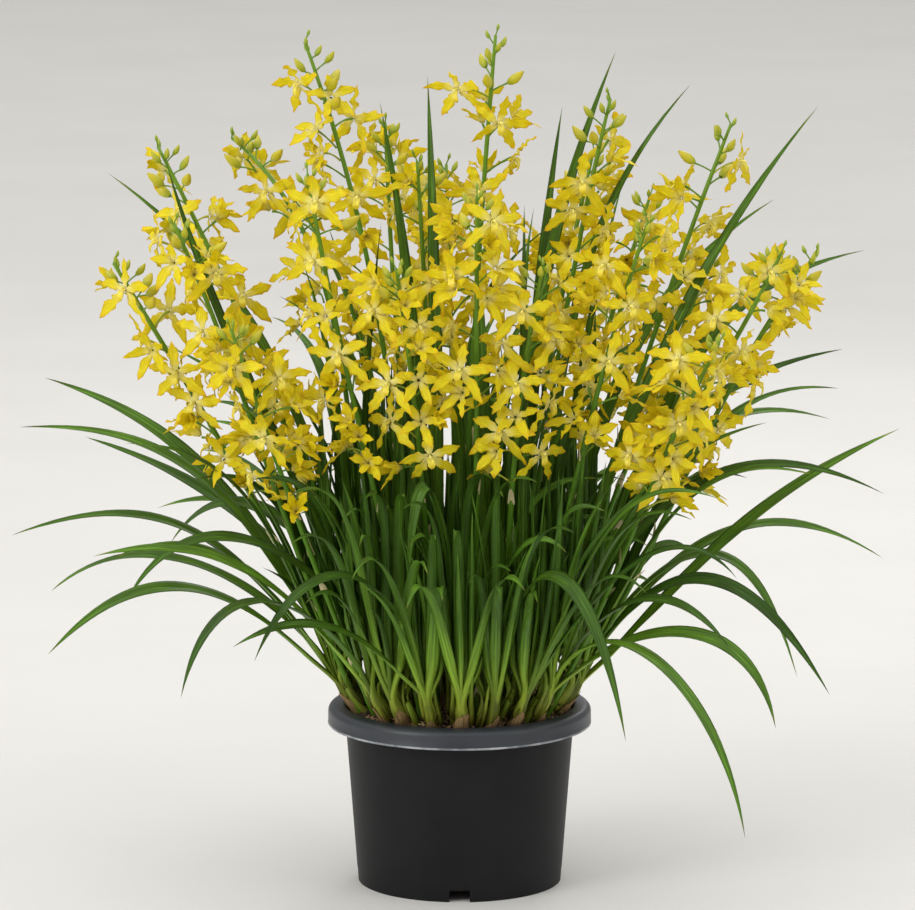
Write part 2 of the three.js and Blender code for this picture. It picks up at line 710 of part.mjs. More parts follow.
function mixSolid() {
  const bottom = FOOT_HEIGHT + WALL + FIT_GAP;
  const inside = (z) => wallAt(z) - WALL - FIT_GAP * 1.5;
  const profile = [[0, bottom], [inside(bottom), bottom], [inside(MIX_TOP), MIX_TOP], [0, MIX_TOP]];
  const body = solidOf(lathe(profile, POT_SIDES));
  const chips = [];
  for (let attempt = 0; attempt < 400 && chips.length < CHIP_COUNT; attempt += 1) {
    const spot = add([0, 0, 0], heading(draw(0, 360), 0), PLANTED_RADIUS * Math.sqrt(draw()));
    const size = draw(6, 11);
    const ball = [spot[0], spot[1], MIX_TOP, size * 0.75 + 1, 0];
    const chip = new THREE.BoxGeometry(size * 1.5, size * 0.8, CHIP_THICKNESS);
    chip.rotateX(draw(-0.3, 0.3));
    chip.rotateY(draw(-0.3, 0.3));
    chip.rotateZ(draw(0, 3.1));
    chip.translate(spot[0], spot[1], MIX_TOP + 0.6);
    const isFree = claimed.every((other) => span(spot, other.spot) > size * 0.9 + other.radius + 3);
    if (isFree && isClear('potting_mix', [ball])) {
      keep('potting_mix', [ball]);
      chips.push(solidOf(chip));
    }
  }
  const holes = [
    ...shoots.map(({ spot, azimuth }) => holeSolid(spot, azimuth, PEG_RADIUS, BULB_SIDES)),
    ...spikes.map(({ spot, path }) => holeSolid(spot, path.azimuth, STEM_RADIUS, STEM_SIDES)),
  ];
  return join([body, ...chips]).subtract(join(holes));
}

const plant = new THREE.Group();

// Each sub-part becomes one named mesh with its own material, its flat faces in as few triangles as they need
const FLAT_TOLERANCE = 0.03;

function place(name, body, color, roughness) {
  const { vertProperties, triVerts } = body.asOriginal().simplify(FLAT_TOLERANCE).getMesh();
  const geometry = new THREE.BufferGeometry();
  geometry.setAttribute('position', new THREE.BufferAttribute(new Float32Array(vertProperties), 3));
  geometry.setIndex(new THREE.BufferAttribute(new Uint32Array(triVerts), 1));
  geometry.computeVertexNormals();
  const mesh = new THREE.Mesh(geometry, new THREE.MeshStandardMaterial({ color, roughness, metalness: 0 }));
  mesh.name = name;
  plant.add(mesh);
}

place('pot', potSolid(), POT_BLACK, 0.55);
place('potting_mix', mixSolid(), BARK_BROWN, 0.95);
for (const shoot of shoots) {
  place(shoot.name, join([bulbSolid(shoot), ...shoot.leaves.map(leafSolid)]), LEAF_GREEN, 0.5);
}
for (const spike of spikes) {
  const heads = spike.heads.map((head) => (head.kind === 'bloom' ? bloomSolid(head) : budSolid(head)));
  place(spike.name, join([stemSolid(spike), ...heads]), BLOOM_YELLOW, 0.6);
}

export default plant;
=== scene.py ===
"""A potted cymbidium orchid for Blender 4.5: moulded pot, leafy shoots, flower spikes and bark mix."""

import itertools
import math

import bpy
import numpy as np
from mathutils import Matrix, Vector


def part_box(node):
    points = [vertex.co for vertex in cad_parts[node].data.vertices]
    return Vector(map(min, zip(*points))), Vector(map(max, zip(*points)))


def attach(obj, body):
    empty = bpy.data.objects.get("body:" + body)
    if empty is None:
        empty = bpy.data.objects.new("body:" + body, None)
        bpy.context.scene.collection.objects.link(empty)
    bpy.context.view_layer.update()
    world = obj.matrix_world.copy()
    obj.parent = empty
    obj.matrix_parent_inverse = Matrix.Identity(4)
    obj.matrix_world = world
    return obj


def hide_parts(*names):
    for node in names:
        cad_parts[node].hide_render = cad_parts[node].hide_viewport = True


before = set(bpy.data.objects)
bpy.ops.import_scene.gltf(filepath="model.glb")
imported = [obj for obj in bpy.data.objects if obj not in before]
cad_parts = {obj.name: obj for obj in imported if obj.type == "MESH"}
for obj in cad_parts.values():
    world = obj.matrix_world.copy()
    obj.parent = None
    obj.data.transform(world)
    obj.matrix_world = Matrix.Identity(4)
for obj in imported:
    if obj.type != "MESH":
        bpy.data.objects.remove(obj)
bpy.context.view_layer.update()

# Pot: a squat nursery pot, injection moulded in one piece from black polypropylene.
# The rim is rolled over and turned down to a thin edge, and four drain slots cut through the foot ring.
MM = 0.001
RIM_RADIUS, WALL_TOP_RADIUS, FOOT_RADIUS = 127.0, 111.5, 98.25
POT_HEIGHT, WALL, FOOT_HEIGHT, FOOT_RING = 174.0, 2.4, 8.0, 2.9
RIM_DROP, RIM_ROLL, RIM_WEB, RIM_SHOULDER = 18.5, 7.0, 5.4, 3.0
DRAIN_SLOTS, SLOT_WIDTH, SLOT_HEIGHT, SLOT_DEPTH, SLOT_INSET = 4, 19.6, 12.7, 18.0, 5.0
SOFT_EDGE, POT_SIDES, SHARP_FOLD = 0.5, 144, math.radians(34)
# RIM_DARK and RIM_GREY are the rim's painted reflection, paler and bluer than the black body
POT_BLACK, POT_SCUFFED, RIM_DARK, RIM_GREY = "#0F1012", "#1A1B1E", "#2C2F34", "#3B3F46"
# EDGE_DULL and EDGE_GREY are a painted highlight along the thin edge under the rim
EDGE_DULL, EDGE_GREY = "#6C7076", "#B4B8BC"
# Pattern sizes in mm, the rim's and the edge's for the patches of their painted reflection and painted
# highlight; the moulded grain is finer on a real pot, and is drawn as coarse as it shows
SCUFF_SIZE, GRAIN_SIZE, RIM_REFLECTION_SIZE, EDGE_HIGHLIGHT_SIZE = 71.43, 1.111, 33.33, 16.67


def linear(colour):
    """An sRGB hex colour as the linear red, green, blue and alpha that a shader takes."""
    parts = [int(colour[i:i + 2], 16) / 255 for i in (1, 3, 5)]
    return [c / 12.92 if c <= 0.04045 else ((c + 0.055) / 1.055) ** 2.4 for c in parts] + [1.0]


def new_material(name):
    material = bpy.data.materials.new(name)
    material.use_nodes = True
    material.node_tree.nodes.clear()
    return material, material.node_tree


def add_node(tree, kind, sockets=None, stops=None, **settings):
    """Adds a node with its settings; a socket takes a value, an output, or a node for its first output."""
    made = tree.nodes.new(kind)
    for name, value in settings.items():
        setattr(made, name, value)
    for name, value in (sockets or {}).items():
        if isinstance(value, bpy.types.Node):
            value = next(output for output in value.outputs if output.enabled)
        if isinstance(value, bpy.types.NodeSocket):
            tree.links.new(value, made.inputs[name])
        else:
            made.inputs[name].default_value = value
    for i, (place, colour) in enumerate(stops or []):
        elements = made.color_ramp.elements
        stop = elements[i] if i < 2 else elements.new(place)
        stop.position, stop.color = place, linear(colour)
    return made


def tinted(name, size, detail, stops, finish, relief=None, fibre=False):
    """A material with one pattern, in space or along the fibres of a piece, that its tint follows."""
    material, tree = new_material(name)
    place = add_node(tree, "ShaderNodeUVMap", uv_map="fibre") if fibre \
        else add_node(tree, "ShaderNodeTexCoord").outputs["Object"]
    scale = [1 / length / (1 if fibre else MM) for length in size]
    stretched = add_node(tree, "ShaderNodeMapping", {"Vector": place, "Scale": scale})
    grain = add_node(tree, "ShaderNodeTexNoise", {"Vector": stretched, "Scale": 1.0, "Detail": detail})
    finish["Base Color"] = add_node(tree, "ShaderNodeValToRGB", {"Fac": grain}, stops)
    if relief:
        finish["Normal"] = add_node(tree, "ShaderNodeBump", {"Height": grain, **relief})
    surface = add_node(tree, "ShaderNodeBsdfPrincipled", finish)
    add_node(tree, "ShaderNodeOutputMaterial", {"Surface": surface})
    return material


def new_skin():
    return {"points": [], "maps": [], "quads": [], "triangles": [], "count": 0}


def add_points(skin, points, fibre, growth):
    """Adds points in mm with their two map places, and returns the number of the first one."""
    points = np.asarray(points, float).reshape(-1, 3)
    skin["points"].append(points)
    skin["maps"].append(np.hstack([np.broadcast_to(place, (len(points), 2)) for place in (fibre, growth)]))
    skin["count"] += len(points)
    return skin["count"] - len(points)


def add_faces(skin, corners, slot):
    """Adds faces with three or four corners each; the last number kept for a face is its material slot."""
    kind = "quads" if corners.shape[1] == 4 else "triangles"
    skin[kind].append(np.column_stack([corners, np.broadcast_to(slot, len(corners))]))


def add_grid(skin, points, fibre=(0, 0), growth=(0, 0), slot=0, around=False, root=None, tip=None):
    """Adds rows of points as a skin; around closes each row on itself, root and tip are pointed ends."""
    points = np.asarray(points, float)
    rows, columns = points.shape[:2]
    fibre, growth = (np.broadcast_to(place, (rows, columns, 2)).reshape(-1, 2) for place in (fibre, growth))
    slots = np.broadcast_to(slot, rows - 1)
    index = add_points(skin, points, fibre, growth) + np.arange(rows * columns).reshape(rows, columns)
    if around:
        index = np.hstack([index, index[:, :1]])
    quads = np.stack([index[:-1, :-1], index[:-1, 1:], index[1:, 1:], index[1:, :-1]], -1).reshape(-1, 4)
    add_faces(skin, quads, np.repeat(slots, index.shape[1] - 1))
    for end, edge, place in ((root, index[0][::-1], 0), (tip, index[-1], -1)):
        if end is not None:
            point = add_points(skin, end, fibre[place], growth[place])
            fan = np.stack([edge[:-1], edge[1:], np.full(len(edge) - 1, point)], -1)
            add_faces(skin, fan, slots[place])


def make_piece(name, skin, materials, slot=None, node=None):
    """Turns a skin into a Blender object in metres; with a slot it rides on the root for its CAD node."""
    quads = np.concatenate(skin["quads"])
    triangles = np.concatenate(skin["triangles"] + [np.zeros((0, 4), int)])
    loops = np.concatenate([quads[:, :4].ravel(), triangles[:, :3].ravel()])
    slots = np.concatenate([quads[:, 4], triangles[:, 3]]).astype(np.int32)
    mesh = bpy.data.meshes.new(name)
    mesh.vertices.add(skin["count"])
    mesh.vertices.foreach_set("co", (np.concatenate(skin["points"]) * MM).ravel())
    mesh.loops.add(len(loops))
    mesh.loops.foreach_set("vertex_index", loops)
    mesh.polygons.add(len(slots))
    starts = [np.arange(len(quads)) * 4, len(quads) * 4 + np.arange(len(triangles)) * 3]
    mesh.polygons.foreach_set("loop_start", np.concatenate(starts))
    places = np.concatenate(skin["maps"])[loops]
    for layer, place in (("fibre", places[:, :2]), ("growth", places[:, 2:])):
        mesh.uv_layers.new(name=layer).data.foreach_set("uv", place.ravel())
    mesh.update(calc_edges=True)
    mesh.validate()
    mesh.polygons.foreach_set("material_index", slots)
    mesh.polygons.foreach_set("use_smooth", np.ones(len(slots), bool))
    for material in materials:
        mesh.materials.append(material)
    made = bpy.data.objects.new(name, mesh)
    bpy.context.scene.collection.objects.link(made)
    if slot:
        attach(made, "root")
        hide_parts(node)
    return made


def placed(origin, *moves):
    """Points set out from one place; each move is a direction and how far along it every point goes."""
    return np.asarray(origin, float) + sum(np.multiply.outer(far, way) for way, far in moves)


def wall_radius(z):
    return FOOT_RADIUS + (WALL_TOP_RADIUS - FOOT_RADIUS) / POT_HEIGHT * z


def quarter(centre_r, centre_z, radius, first, last):
    """Points of a moulded corner, as radius and height, between two angles."""
    angles = np.radians(np.linspace(first, last, 7))
    return [(centre_r + radius * math.cos(a), centre_z + radius * math.sin(a)) for a in angles]


def turned(profile, sides):
    """A profile of radius and height, turned about the pot's axis; the rows run up the profile."""
    angles = np.linspace(0, 2 * math.pi, sides, endpoint=False)
    radius, height = np.array(profile).T
    return np.stack([np.outer(radius, np.cos(angles)), np.outer(radius, np.sin(angles)),
                     np.repeat(height[:, None], sides, 1)], -1)


# Polypropylene, moulded: near black with a soft satin glow, cloudy where handling has dulled it
pot_plastic, tree = new_material("moulded_black_polypropylene")
place = add_node(tree, "ShaderNodeTexCoord").outputs["Object"]
clouds = add_node(tree, "ShaderNodeTexNoise", {
    "Vector": place, "Scale": 1 / (SCUFF_SIZE * MM), "Detail": 6.0, "Roughness": 0.6})
tint = add_node(tree, "ShaderNodeValToRGB", {"Fac": clouds}, [(0.3, POT_BLACK), (0.75, POT_SCUFFED)])
gloss = add_node(tree, "ShaderNodeMapRange", {"Value": clouds, "To Min": 0.44, "To Max": 0.6})
grain = add_node(tree, "ShaderNodeTexNoise", {"Vector": place, "Scale": 1 / (GRAIN_SIZE * MM), "Detail": 2.0})
relief = add_node(tree, "ShaderNodeBump", {"Height": grain, "Strength": 0.12, "Distance": 0.0003})
surface = add_node(tree, "ShaderNodeBsdfPrincipled", {
    "Base Color": tint, "Roughness": gloss, "Normal": relief, "IOR": 1.49, "Specular IOR Level": 0.22})
add_node(tree, "ShaderNodeOutputMaterial", {"Surface": surface})

# The rolled rim is the same plastic, painted paler and bluer than the body in soft patches: a painted
# reflection of the bright studio
rim_plastic_painted_reflection = tinted("polypropylene_rim_painted_reflection", [RIM_REFLECTION_SIZE] * 3, 5.0,
                     [(0.25, RIM_DARK), (0.75, RIM_GREY)], {"Roughness": 0.4, "IOR": 1.49})

# The thin edge under the rim carries a painted highlight, which draws one pale line round the pot
edge_painted_highlight = tinted("polypropylene_edge_painted_highlight", [EDGE_HIGHLIGHT_SIZE] * 3, 4.0,
                     [(0.35, EDGE_DULL), (0.65, EDGE_GREY)], {"Roughness": 0.6})

skirt, web = POT_HEIGHT - RIM_DROP, POT_HEIGHT - RIM_WEB
foot_inside, rim_inside, floor_top = FOOT_RADIUS - FOOT_RING, RIM_RADIUS - WALL, FOOT_HEIGHT + WALL
outer_wall = [(wall_radius(z), z) for z in np.linspace(1.2, web - 1, 12)]
inner_wall = [(wall_radius(z) - WALL, z) for z in np.linspace(web - 1, floor_top + 1, 8)]
# The profile in radius and height, from under the foot up over the rim and down inside, by material
profile = [
    (0, [(60, FOOT_HEIGHT), (foot_inside - 0.6, FOOT_HEIGHT), (foot_inside, FOOT_HEIGHT - 0.6),
         (foot_inside, SOFT_EDGE), (foot_inside + SOFT_EDGE, 0), (FOOT_RADIUS - SOFT_EDGE, 0),
         (FOOT_RADIUS, SOFT_EDGE)] + outer_wall),
    (1, [(wall_radius(web) + 0.8, web), (rim_inside - 0.8, web), (rim_inside, web - 0.8),
         (rim_inside, skirt)]),
    (2, [(rim_inside + 0.4, skirt - 0.3), (RIM_RADIUS - 0.2, skirt - 0.3), (RIM_RADIUS + 0.3, skirt + 0.3),
         (RIM_RADIUS + 0.2, skirt + 1.3)]),
    (1, [(RIM_RADIUS, skirt + 1.7)] + quarter(RIM_RADIUS - RIM_ROLL, POT_HEIGHT - RIM_ROLL, RIM_ROLL, 0, 90)
        + [(WALL_TOP_RADIUS + 3.5, POT_HEIGHT)]
        + quarter(WALL_TOP_RADIUS + 1.2, POT_HEIGHT - RIM_SHOULDER, RIM_SHOULDER, 90, 180)),
    (0, inner_wall + [(wall_radius(FOOT_HEIGHT) - WALL - 1, floor_top), (50, floor_top)]),
]
parts, spots = zip(*((part, spot) for part, spots in profile for spot in spots))
pot_skin = new_skin()
add_grid(pot_skin, turned(spots, POT_SIDES), slot=parts[:-1], around=True,
         root=(0, 0, FOOT_HEIGHT), tip=(0, 0, floor_top))
pot = make_piece("moulded_pot", pot_skin, [pot_plastic, rim_plastic_painted_reflection, edge_painted_highlight], "pot", "pot")

cutter_skin = new_skin()
for turn in range(DRAIN_SLOTS):
    c, s = math.cos(turn * 2 * math.pi / DRAIN_SLOTS), math.sin(turn * 2 * math.pi / DRAIN_SLOTS)
    outwards = FOOT_RADIUS - SLOT_INSET + SLOT_DEPTH / 2 * np.array([-1, 1, 1, -1])
    rings = placed((0, 0, 0), ((c, s, 0), outwards), ((-s, c, 0), SLOT_WIDTH / 2 * np.array([-1, -1, 1, 1])),
                   ((0, 0, 1), SLOT_HEIGHT * np.array([[-1], [1]])))
    add_grid(cutter_skin, rings, around=True, root=rings[0].mean(0), tip=rings[1].mean(0))
cutter = make_piece("slot_cutter", cutter_skin, [pot_plastic])
cut = pot.modifiers.new("drain_slots", "BOOLEAN")
cut.operation, cut.object, cut.solver = "DIFFERENCE", cutter, "EXACT"
cut_mesh = bpy.data.meshes.new_from_object(pot.evaluated_get(bpy.context.evaluated_depsgraph_get()))
pot.modifiers.clear()
pot.data = cut_mesh
bpy.data.objects.remove(cutter)
cut_mesh.set_sharp_from_angle(angle=SHARP_FOLD)

# Growth plan: where each shoot, stem, leaf, bloom and bud of the plant stands, in mm.
# One seeded run of draws and one record of the space already taken keep every piece clear of the rest.
DEGREE = math.pi / 180
MIX_TOP, SPOT_GAP, PLANTED_RADIUS = 160.0, 1.5, 101.0
BULB_HEIGHT, BULB_WIDTH, BULB_DEPTH, PEG_RADIUS = 50.0, 18.0, 12.5, 5.5
LEAF_START, LEAF_WIDTH, LEAF_KEEL, LEAF_BALL, DEEPEST_TIP = 8.0, 14.5, 1.9, 3.3, 285.0
LEAF_ROLL, LEAF_TWIST, LEAN_PER_MM = 14, 34, 0.42
STEM_RADIUS, STEM_TIP_RADIUS, STEM_STEPS, STEM_SIDES, STEM_FULLNESS = 3.1, 1.3, 4, 4, 0.36
PEDICEL_LENGTH, PEDICEL_SINK = 30.0, 0.5
TEPAL_LENGTH, TEPAL_HALF_WIDTH, THROAT_HALF_DEPTH = 34.5, 6.0, 2.4
BUD_LENGTH, BUD_STALK = 21.0, 17.0
LEAST_TURN, GOLDEN_ANGLE, OPEN_SHARE = 0.35, 137.5, 0.75
# Shares of a stem's length: for one bloom, the most for all of them, for one large bud, bare below the tip
BLOOM_SHARE, MOST_BLOOMS, BUD_SHARE, BARE_SHARE = 0.052, 0.5, 0.022, 0.02
STEM_TRIES, BLOOM_TRIES, BUD_TRIES, PLACED_TRIES, FAN_TRIES, CHIP_TRIES = 80, 60, 20, 50, 260, 400
BALL_STEP, CELL, DRAW_FACTOR, DRAW_LIMIT = 5, 16, 16807, 2147483647
seed = 20260


def draw(low=0, high=1):
    global seed
    seed = seed * DRAW_FACTOR % DRAW_LIMIT
    return low + (high - low) * (seed / DRAW_LIMIT)


def add(a, b, scale=1):
    return (a[0] + b[0] * scale, a[1] + b[1] * scale, a[2] + b[2] * scale)


def dot(a, b):
    return a[0] * b[0] + a[1] * b[1] + a[2] * b[2]


def cross(a, b):
    return (a[1] * b[2] - a[2] * b[1], a[2] * b[0] - a[0] * b[2], a[0] * b[1] - a[1] * b[0])


def unit(a):
    length = math.sqrt(dot(a, a))
    return (a[0] / length, a[1] / length, a[2] / length)


def heading(azimuth, rise):
    """A direction from its compass angle about +Z and its angle above the level, in degrees."""
    level = math.cos(rise * DEGREE)
    return (level * math.cos(azimuth * DEGREE), level * math.sin(azimuth * DEGREE), math.sin(rise * DEGREE))


def towards(first, second, angle):
    """The direction that lies an angle in degrees from one direction towards another square to it."""
    return add(add((0, 0, 0), first, math.cos(angle * DEGREE)), second, math.sin(angle * DEGREE))


def between(start, end, share):
    return tuple(a + (b - a) * share for a, b in zip(start, end))


room = {}


def cells_near(ball):
    reach = ball[3]
    return itertools.product(*(range(math.floor((c - reach) / CELL), math.floor((c + reach) / CELL) + 1)
                               for c in ball[:3]))


def keep(owner, balls):
    """Balls are x, y, z, radius, loose; loose ones may meet balls of their own piece."""
    for ball in balls:
        for cell in cells_near(ball):
            room.setdefault(cell, []).append((*ball, owner))


def is_clear(owner, balls):
    """Whether balls of one piece meet none that are kept already."""
    for ball in balls:
        x, y, z, radius, loose = ball
        for cell in cells_near(ball):
            for other in room.get(cell, ()):
                if other[5] == owner and (loose or other[4]):
                    continue
                dx, dy, dz = x - other[0], y - other[1], z - other[2]
                if math.sqrt(dx * dx + dy * dy + dz * dz) < radius + other[3]:
                    return False
    return True


class Arc:
    """A smooth arc in an upright plane, from its root and tip and its angles above the level at both."""

    def __init__(self, root, tip, rise, end, fullness):
        self.azimuth = math.atan2(tip[1] - root[1], tip[0] - root[0]) / DEGREE
        reach = fullness * math.dist(root, tip)
        first = add(root, heading(self.azimuth, rise), reach)
        second = add(tip, heading(self.azimuth, end), -reach)
        self.corners = (root, first, second, tip)
        self.side = heading(self.azimuth + 90, 0)
        self.length = sum(math.dist(self.at(i / 24), self.at((i + 1) / 24)) for i in range(24))

    def at(self, t):
        s = 1 - t
        a, b, c, d = s * s * s, 3 * s * s * t, 3 * s * t * t, t * t * t
        root, first, second, tip = self.corners
        return tuple(a * root[i] + b * first[i] + c * second[i] + d * tip[i] for i in range(3))

    def along(self, t):
        s = 1 - t
        root, first, second, tip = self.corners
        return unit([s * s * (first[i] - root[i]) + 2 * s * t * (second[i] - first[i])
                     + t * t * (tip[i] - second[i]) for i in range(3)])


# Spikes: angle and radius of the root; tip x, y, z; angle at the root and at the tip; blooms; buds
SPIKES = [
    (180, 40, -148, 45, 810, 86, 68, 8, 3),
    (0, 0, 34, -25, 824, 88, 84, 8, 3),
    (180, 70, -289, 40, 710, 72, 62, 8, 3),
    (180, 89, -327, -60, 612, 64, 59, 8, 3),
    (150, 89, -222, 150, 704, 76, 30, 3, 3),
    (0, 40, 144, 30, 757, 80, 76, 8, 3),
    (60, 70, 130, 125, 694, 80, 74, 6, 2),
    (0, 70, 260, 50, 730, 72, 68, 8, 3),
    (0, 89, 337, -45, 618, 56, 54, 8, 3),
    (240, 70, -142, -115, 704, 80, 80, 8, 2),
    (120, 40, -41, 85, 690, 86, 80, 6, 2),
    (90, 89, -13, 165, 676, 84, 80, 5, 2),
    (300, 70, 78, -140, 620, 80, 66, 8, 2),
    (240, 40, -59, -150, 620, 80, 66, 8, 2),
    (30, 89, 246, 130, 592, 70, 66, 6, 2),
    (210, 89, -214, -130, 560, 66, 70, 7, 2),
    (330, 89, 242, -150, 550, 58, 60, 7, 2),
    (60, 89, 188, 205, 640, 74, 66, 5, 2),
    (120, 70, -73, 215, 710, 76, 82, 6, 2),
    (285, 60, 16, -160, 690, 84, 74, 7, 2),
    (320, 70, 176, -120, 660, 74, 70, 7, 2),
    (195, 89, -268, -95, 655, 66, 66, 8, 2),
    (0, 55, 302, -100, 628, 66, 64, 8, 2),
]

# Shoots stand in rings and part rings: radius, count, first angle, angle between, leaves
SHOOT_RINGS = [
    (87, 12, 15, 30, 5),
    (55, 6, 30, 60, 5),
    (21, 3, 30, 120, 4),
    (88, 3, 240, 30, 5),
    (88, 1, 120, 30, 4),
    (38, 2, 60, 240, 4),
]

# Leaves placed one by one: shoot; tip x, y, z; angle at the root and at the tip; fullness of the arc
LEAVES = [
    (16, -50, -118, 300, 86, -86, 1.6),
    (18, 150, 60, 800, 82, 66, 0.36),
    (9, 155, -220, 185, 80, -76, 1.12),
    (8, -191, -230, 263, 78, -62, 0.66),
    (6, -427, -60, 350, 54, -20, 0.48),
    (6, -386, -180, 259, 46, -42, 0.48),
    (7, -340, -230, 363, 52, -8, 0.42),
    (7, -256, -300, 244, 56, -72, 0.5),
    (8, -211, -230, 277, 52, -24, 0.42),
    (15, -315, -120, 298, 66, -60, 0.5),
    (14, -281, 60, 319, 66, -58, 0.5),
    (5, -427, 60, 434, 58, -6, 0.45),
    (5, -409, 110, 473, 56, 10, 0.42),
    (4, -368, 150, 408, 52, 14, 0.4),
    (14, -341, 90, 683, 64, 40, 0.4),
    (15, -279, -20, 705, 66, 74, 0.36),
    (19, -77, 80, 749, 84, 72, 0.36),
    (19, -28, 100, 769, 86, 78, 0.36),
    (12, 99, 80, 744, 86, 76, 0.36),
    (12, 221, 40, 770, 78, 48, 0.38),
    (17, 344, 50, 748, 66, 48, 0.38),
    (12, 306, 120, 648, 68, 28, 0.4),
    (0, 395, 120, 598, 66, 8, 0.44),
    (1, 379, 190, 489, 62, 6, 0.44),
    (1, 365, 230, 408, 62, -18, 0.44),
    (11, 420, -30, 448, 46, 24, 0.4),
    (17, 403, -40, 385, 62, -26, 0.48),
    (0, 412, 60, 304, 54, -34, 0.48),
    (0, 324, -40, 207, 58, -74, 0.8),
    (11, 351, -120, 207, 60, -58, 0.66),
    (10, 296, -190, 191, 50, -78, 0.52),
    (10, 265, -260, 102, 62, -78, 0.55),
    (10, 256, -200, 275, 58, -46, 0.48),
    (3, 70, 300, 380, 60, -18, 0.46),
]

claimed = []


def free_spot(x, y, radius):
    """The nearest free place in the mix to the one that is wanted, searched in widening circles."""
    for circle in range(40):
        for turn in range(12):
            spot = add((x, y, 0), heading(turn * 30, 0), circle * 1.5)
            if not all(math.dist(spot, other) > radius + taken + SPOT_GAP for other, taken in claimed):
                continue
            if math.hypot(spot[0], spot[1]) < PLANTED_RADIUS - radius:
                claimed.append((spot, radius))
                return spot
    raise ValueError("no room left in the mix")


def bulb_balls(shoot):
    for reach in range(2, int(BULB_HEIGHT), 7):
        centre = add(shoot["foot"], shoot["way"], reach)
        for offset in (-3, 3):
            yield (*add(centre, shoot["upper"], offset), 6, 1)


def stem_radius(t):
    return STEM_RADIUS + (STEM_TIP_RADIUS - STEM_RADIUS) * t


def stem_balls(path):
    count = math.ceil(path.length / BALL_STEP)
    for i in range(count + 1):
        yield (*path.at(i / count), stem_radius(i / count) + 1.2, 1)


def flat_side(path, turn):
    """The middle direction of the flat side of a stem that looks a given way."""
    side_angle = 360 / STEM_SIDES
    return path.azimuth + (math.floor((turn - path.azimuth) / side_angle) + 0.5) * side_angle


def towards_flat(path, turn):
    return (turn + flat_side(path, turn)) / 2


def stalk_foot(path, t, turn):
    """The place just under a stem's flat side where a stalk leaves it."""
    step = min(STEM_STEPS - 1, math.floor(t * STEM_STEPS))
    centre = between(path.at(step / STEM_STEPS), path.at((step + 1) / STEM_STEPS), t * STEM_STEPS - step)
    inset = stem_radius(t) * math.cos(math.pi / STEM_SIDES) - PEDICEL_SINK
    return add(centre, heading(flat_side(path, turn), 0), inset)


def leaf_width(leaf, t):
    taper = max(0, (t - 0.4) / 0.6)
    return leaf["width"] * min(1, 0.35 + 2.5 * t) * (1 - taper ** 2.4)


def leaf_frame(leaf, t):
    """Centre, across and upper directions of a leaf at a share of its length."""
    along, level = leaf["path"].along(t), leaf["path"].side
    across = towards(level, cross(along, level), leaf["roll"] + leaf["twist"] * t)
    return leaf["path"].at(t), across, cross(along, across)


def leaf_balls(leaf, ball):
    """Balls of one radius, two or three abreast, from the leaf's foot to its tip."""
    length = leaf["path"].length
    count = math.ceil(length / BALL_STEP)
    for i in range(1, count + 1):
        t = i / count
        centre, across = leaf_frame(leaf, t)[:2]
        width = leaf_width(leaf, t)
        for row in ((-0.33, 0, 0.33) if width > 9 else (-0.22, 0.22)):
            yield (*add(centre, across, row * width), ball, 1 if t * length < 60 else 0)


# Tepals of a bloom, anticlockwise from the top: angle, length share, width share, forward bend
TEPALS = [(90, 1, 1, 4), (160, 0.98, 1, 2), (222, 1, 0.95, -3), (318, 1, 0.95, -3), (380, 0.98, 1, 2)]


def bloom_frame(head):
    across = unit(cross(head["facing"], (0, 0, 1)))
    upright = cross(across, head["facing"])
    c, s = math.cos(head["roll"] * DEGREE), math.sin(head["roll"] * DEGREE)
    return towards(across, upright, head["roll"]), add(add((0, 0, 0), across, -s), upright, c)


def stalk_balls(head):
    for share in (0.35, 0.6):
        yield (*between(head["foot"], head["centre"], share), 2, 1)


def bloom_balls(head):
    """The throat, three balls along each tepal, and the stalk."""
    across, upright = bloom_frame(head)
    yield (*head["centre"], 6.5, 0)
    for angle, share, _, bend in TEPALS:
        way = towards(across, upright, angle)
        for along, radius in ((0.34, 4.8), (0.62, 5.2), (0.9, 3.2)):
            spot = add(head["centre"], way, along * share * head["size"])
            yield (*add(spot, head["facing"], bend * along * along), radius, 0)
    yield from stalk_balls(head)


def bud_balls(head):
    size = head["size"]
    yield (*add(head["base"], head["way"], size * 0.4), size * 0.24, 0)
    yield (*add(head["base"], head["way"], size * 0.8), size * 0.16, 0)
    yield (*[(a + b) / 2 for a, b in zip(head["base"], head["foot"])], 1.8, 1)


def settle(owner, shape, *form):
    """Takes the room for a form if all of it is clear, and says whether it was."""
    clear = is_clear(owner, shape(*form))
    if clear:
        keep(owner, shape(*form))
    return clear


def flowering(spike):
    """The share of a stem's length that carries open flowers."""
    return min(MOST_BLOOMS, BLOOM_SHARE * spike["blooms"])


shoots = []
for radius, count, first, apart, leaf_count in SHOOT_RINGS:
    for i in range(count):
        azimuth = first + i * apart
        lean = 90 - radius * LEAN_PER_MM
        wanted = heading(azimuth + draw(-3, 3), 0)
        spot = free_spot(wanted[0] * radius, wanted[1] * radius, PEG_RADIUS + 1)
        way, side = heading(azimuth, lean), heading(azimuth + 90, 0)
        shoots.append({
            "name": f"shoot_{len(shoots) + 1:02d}", "spot": spot, "foot": (spot[0], spot[1], MIX_TOP),
            "azimuth": azimuth, "lean": lean, "way": way, "side": side, "upper": cross(way, side),
            "leaf_count": leaf_count, "leaves": []})

for turn in range(0, 360, 6):
    rim_way = heading(turn, 0)
    reach = (RIM_RADIUS * 2 - RIM_DROP) / 2
    keep("pot", [(rim_way[0] * reach, rim_way[1] * reach, POT_HEIGHT - 8, 12, 0)])
for shoot in shoots:
    keep(shoot["name"], bulb_balls(shoot))

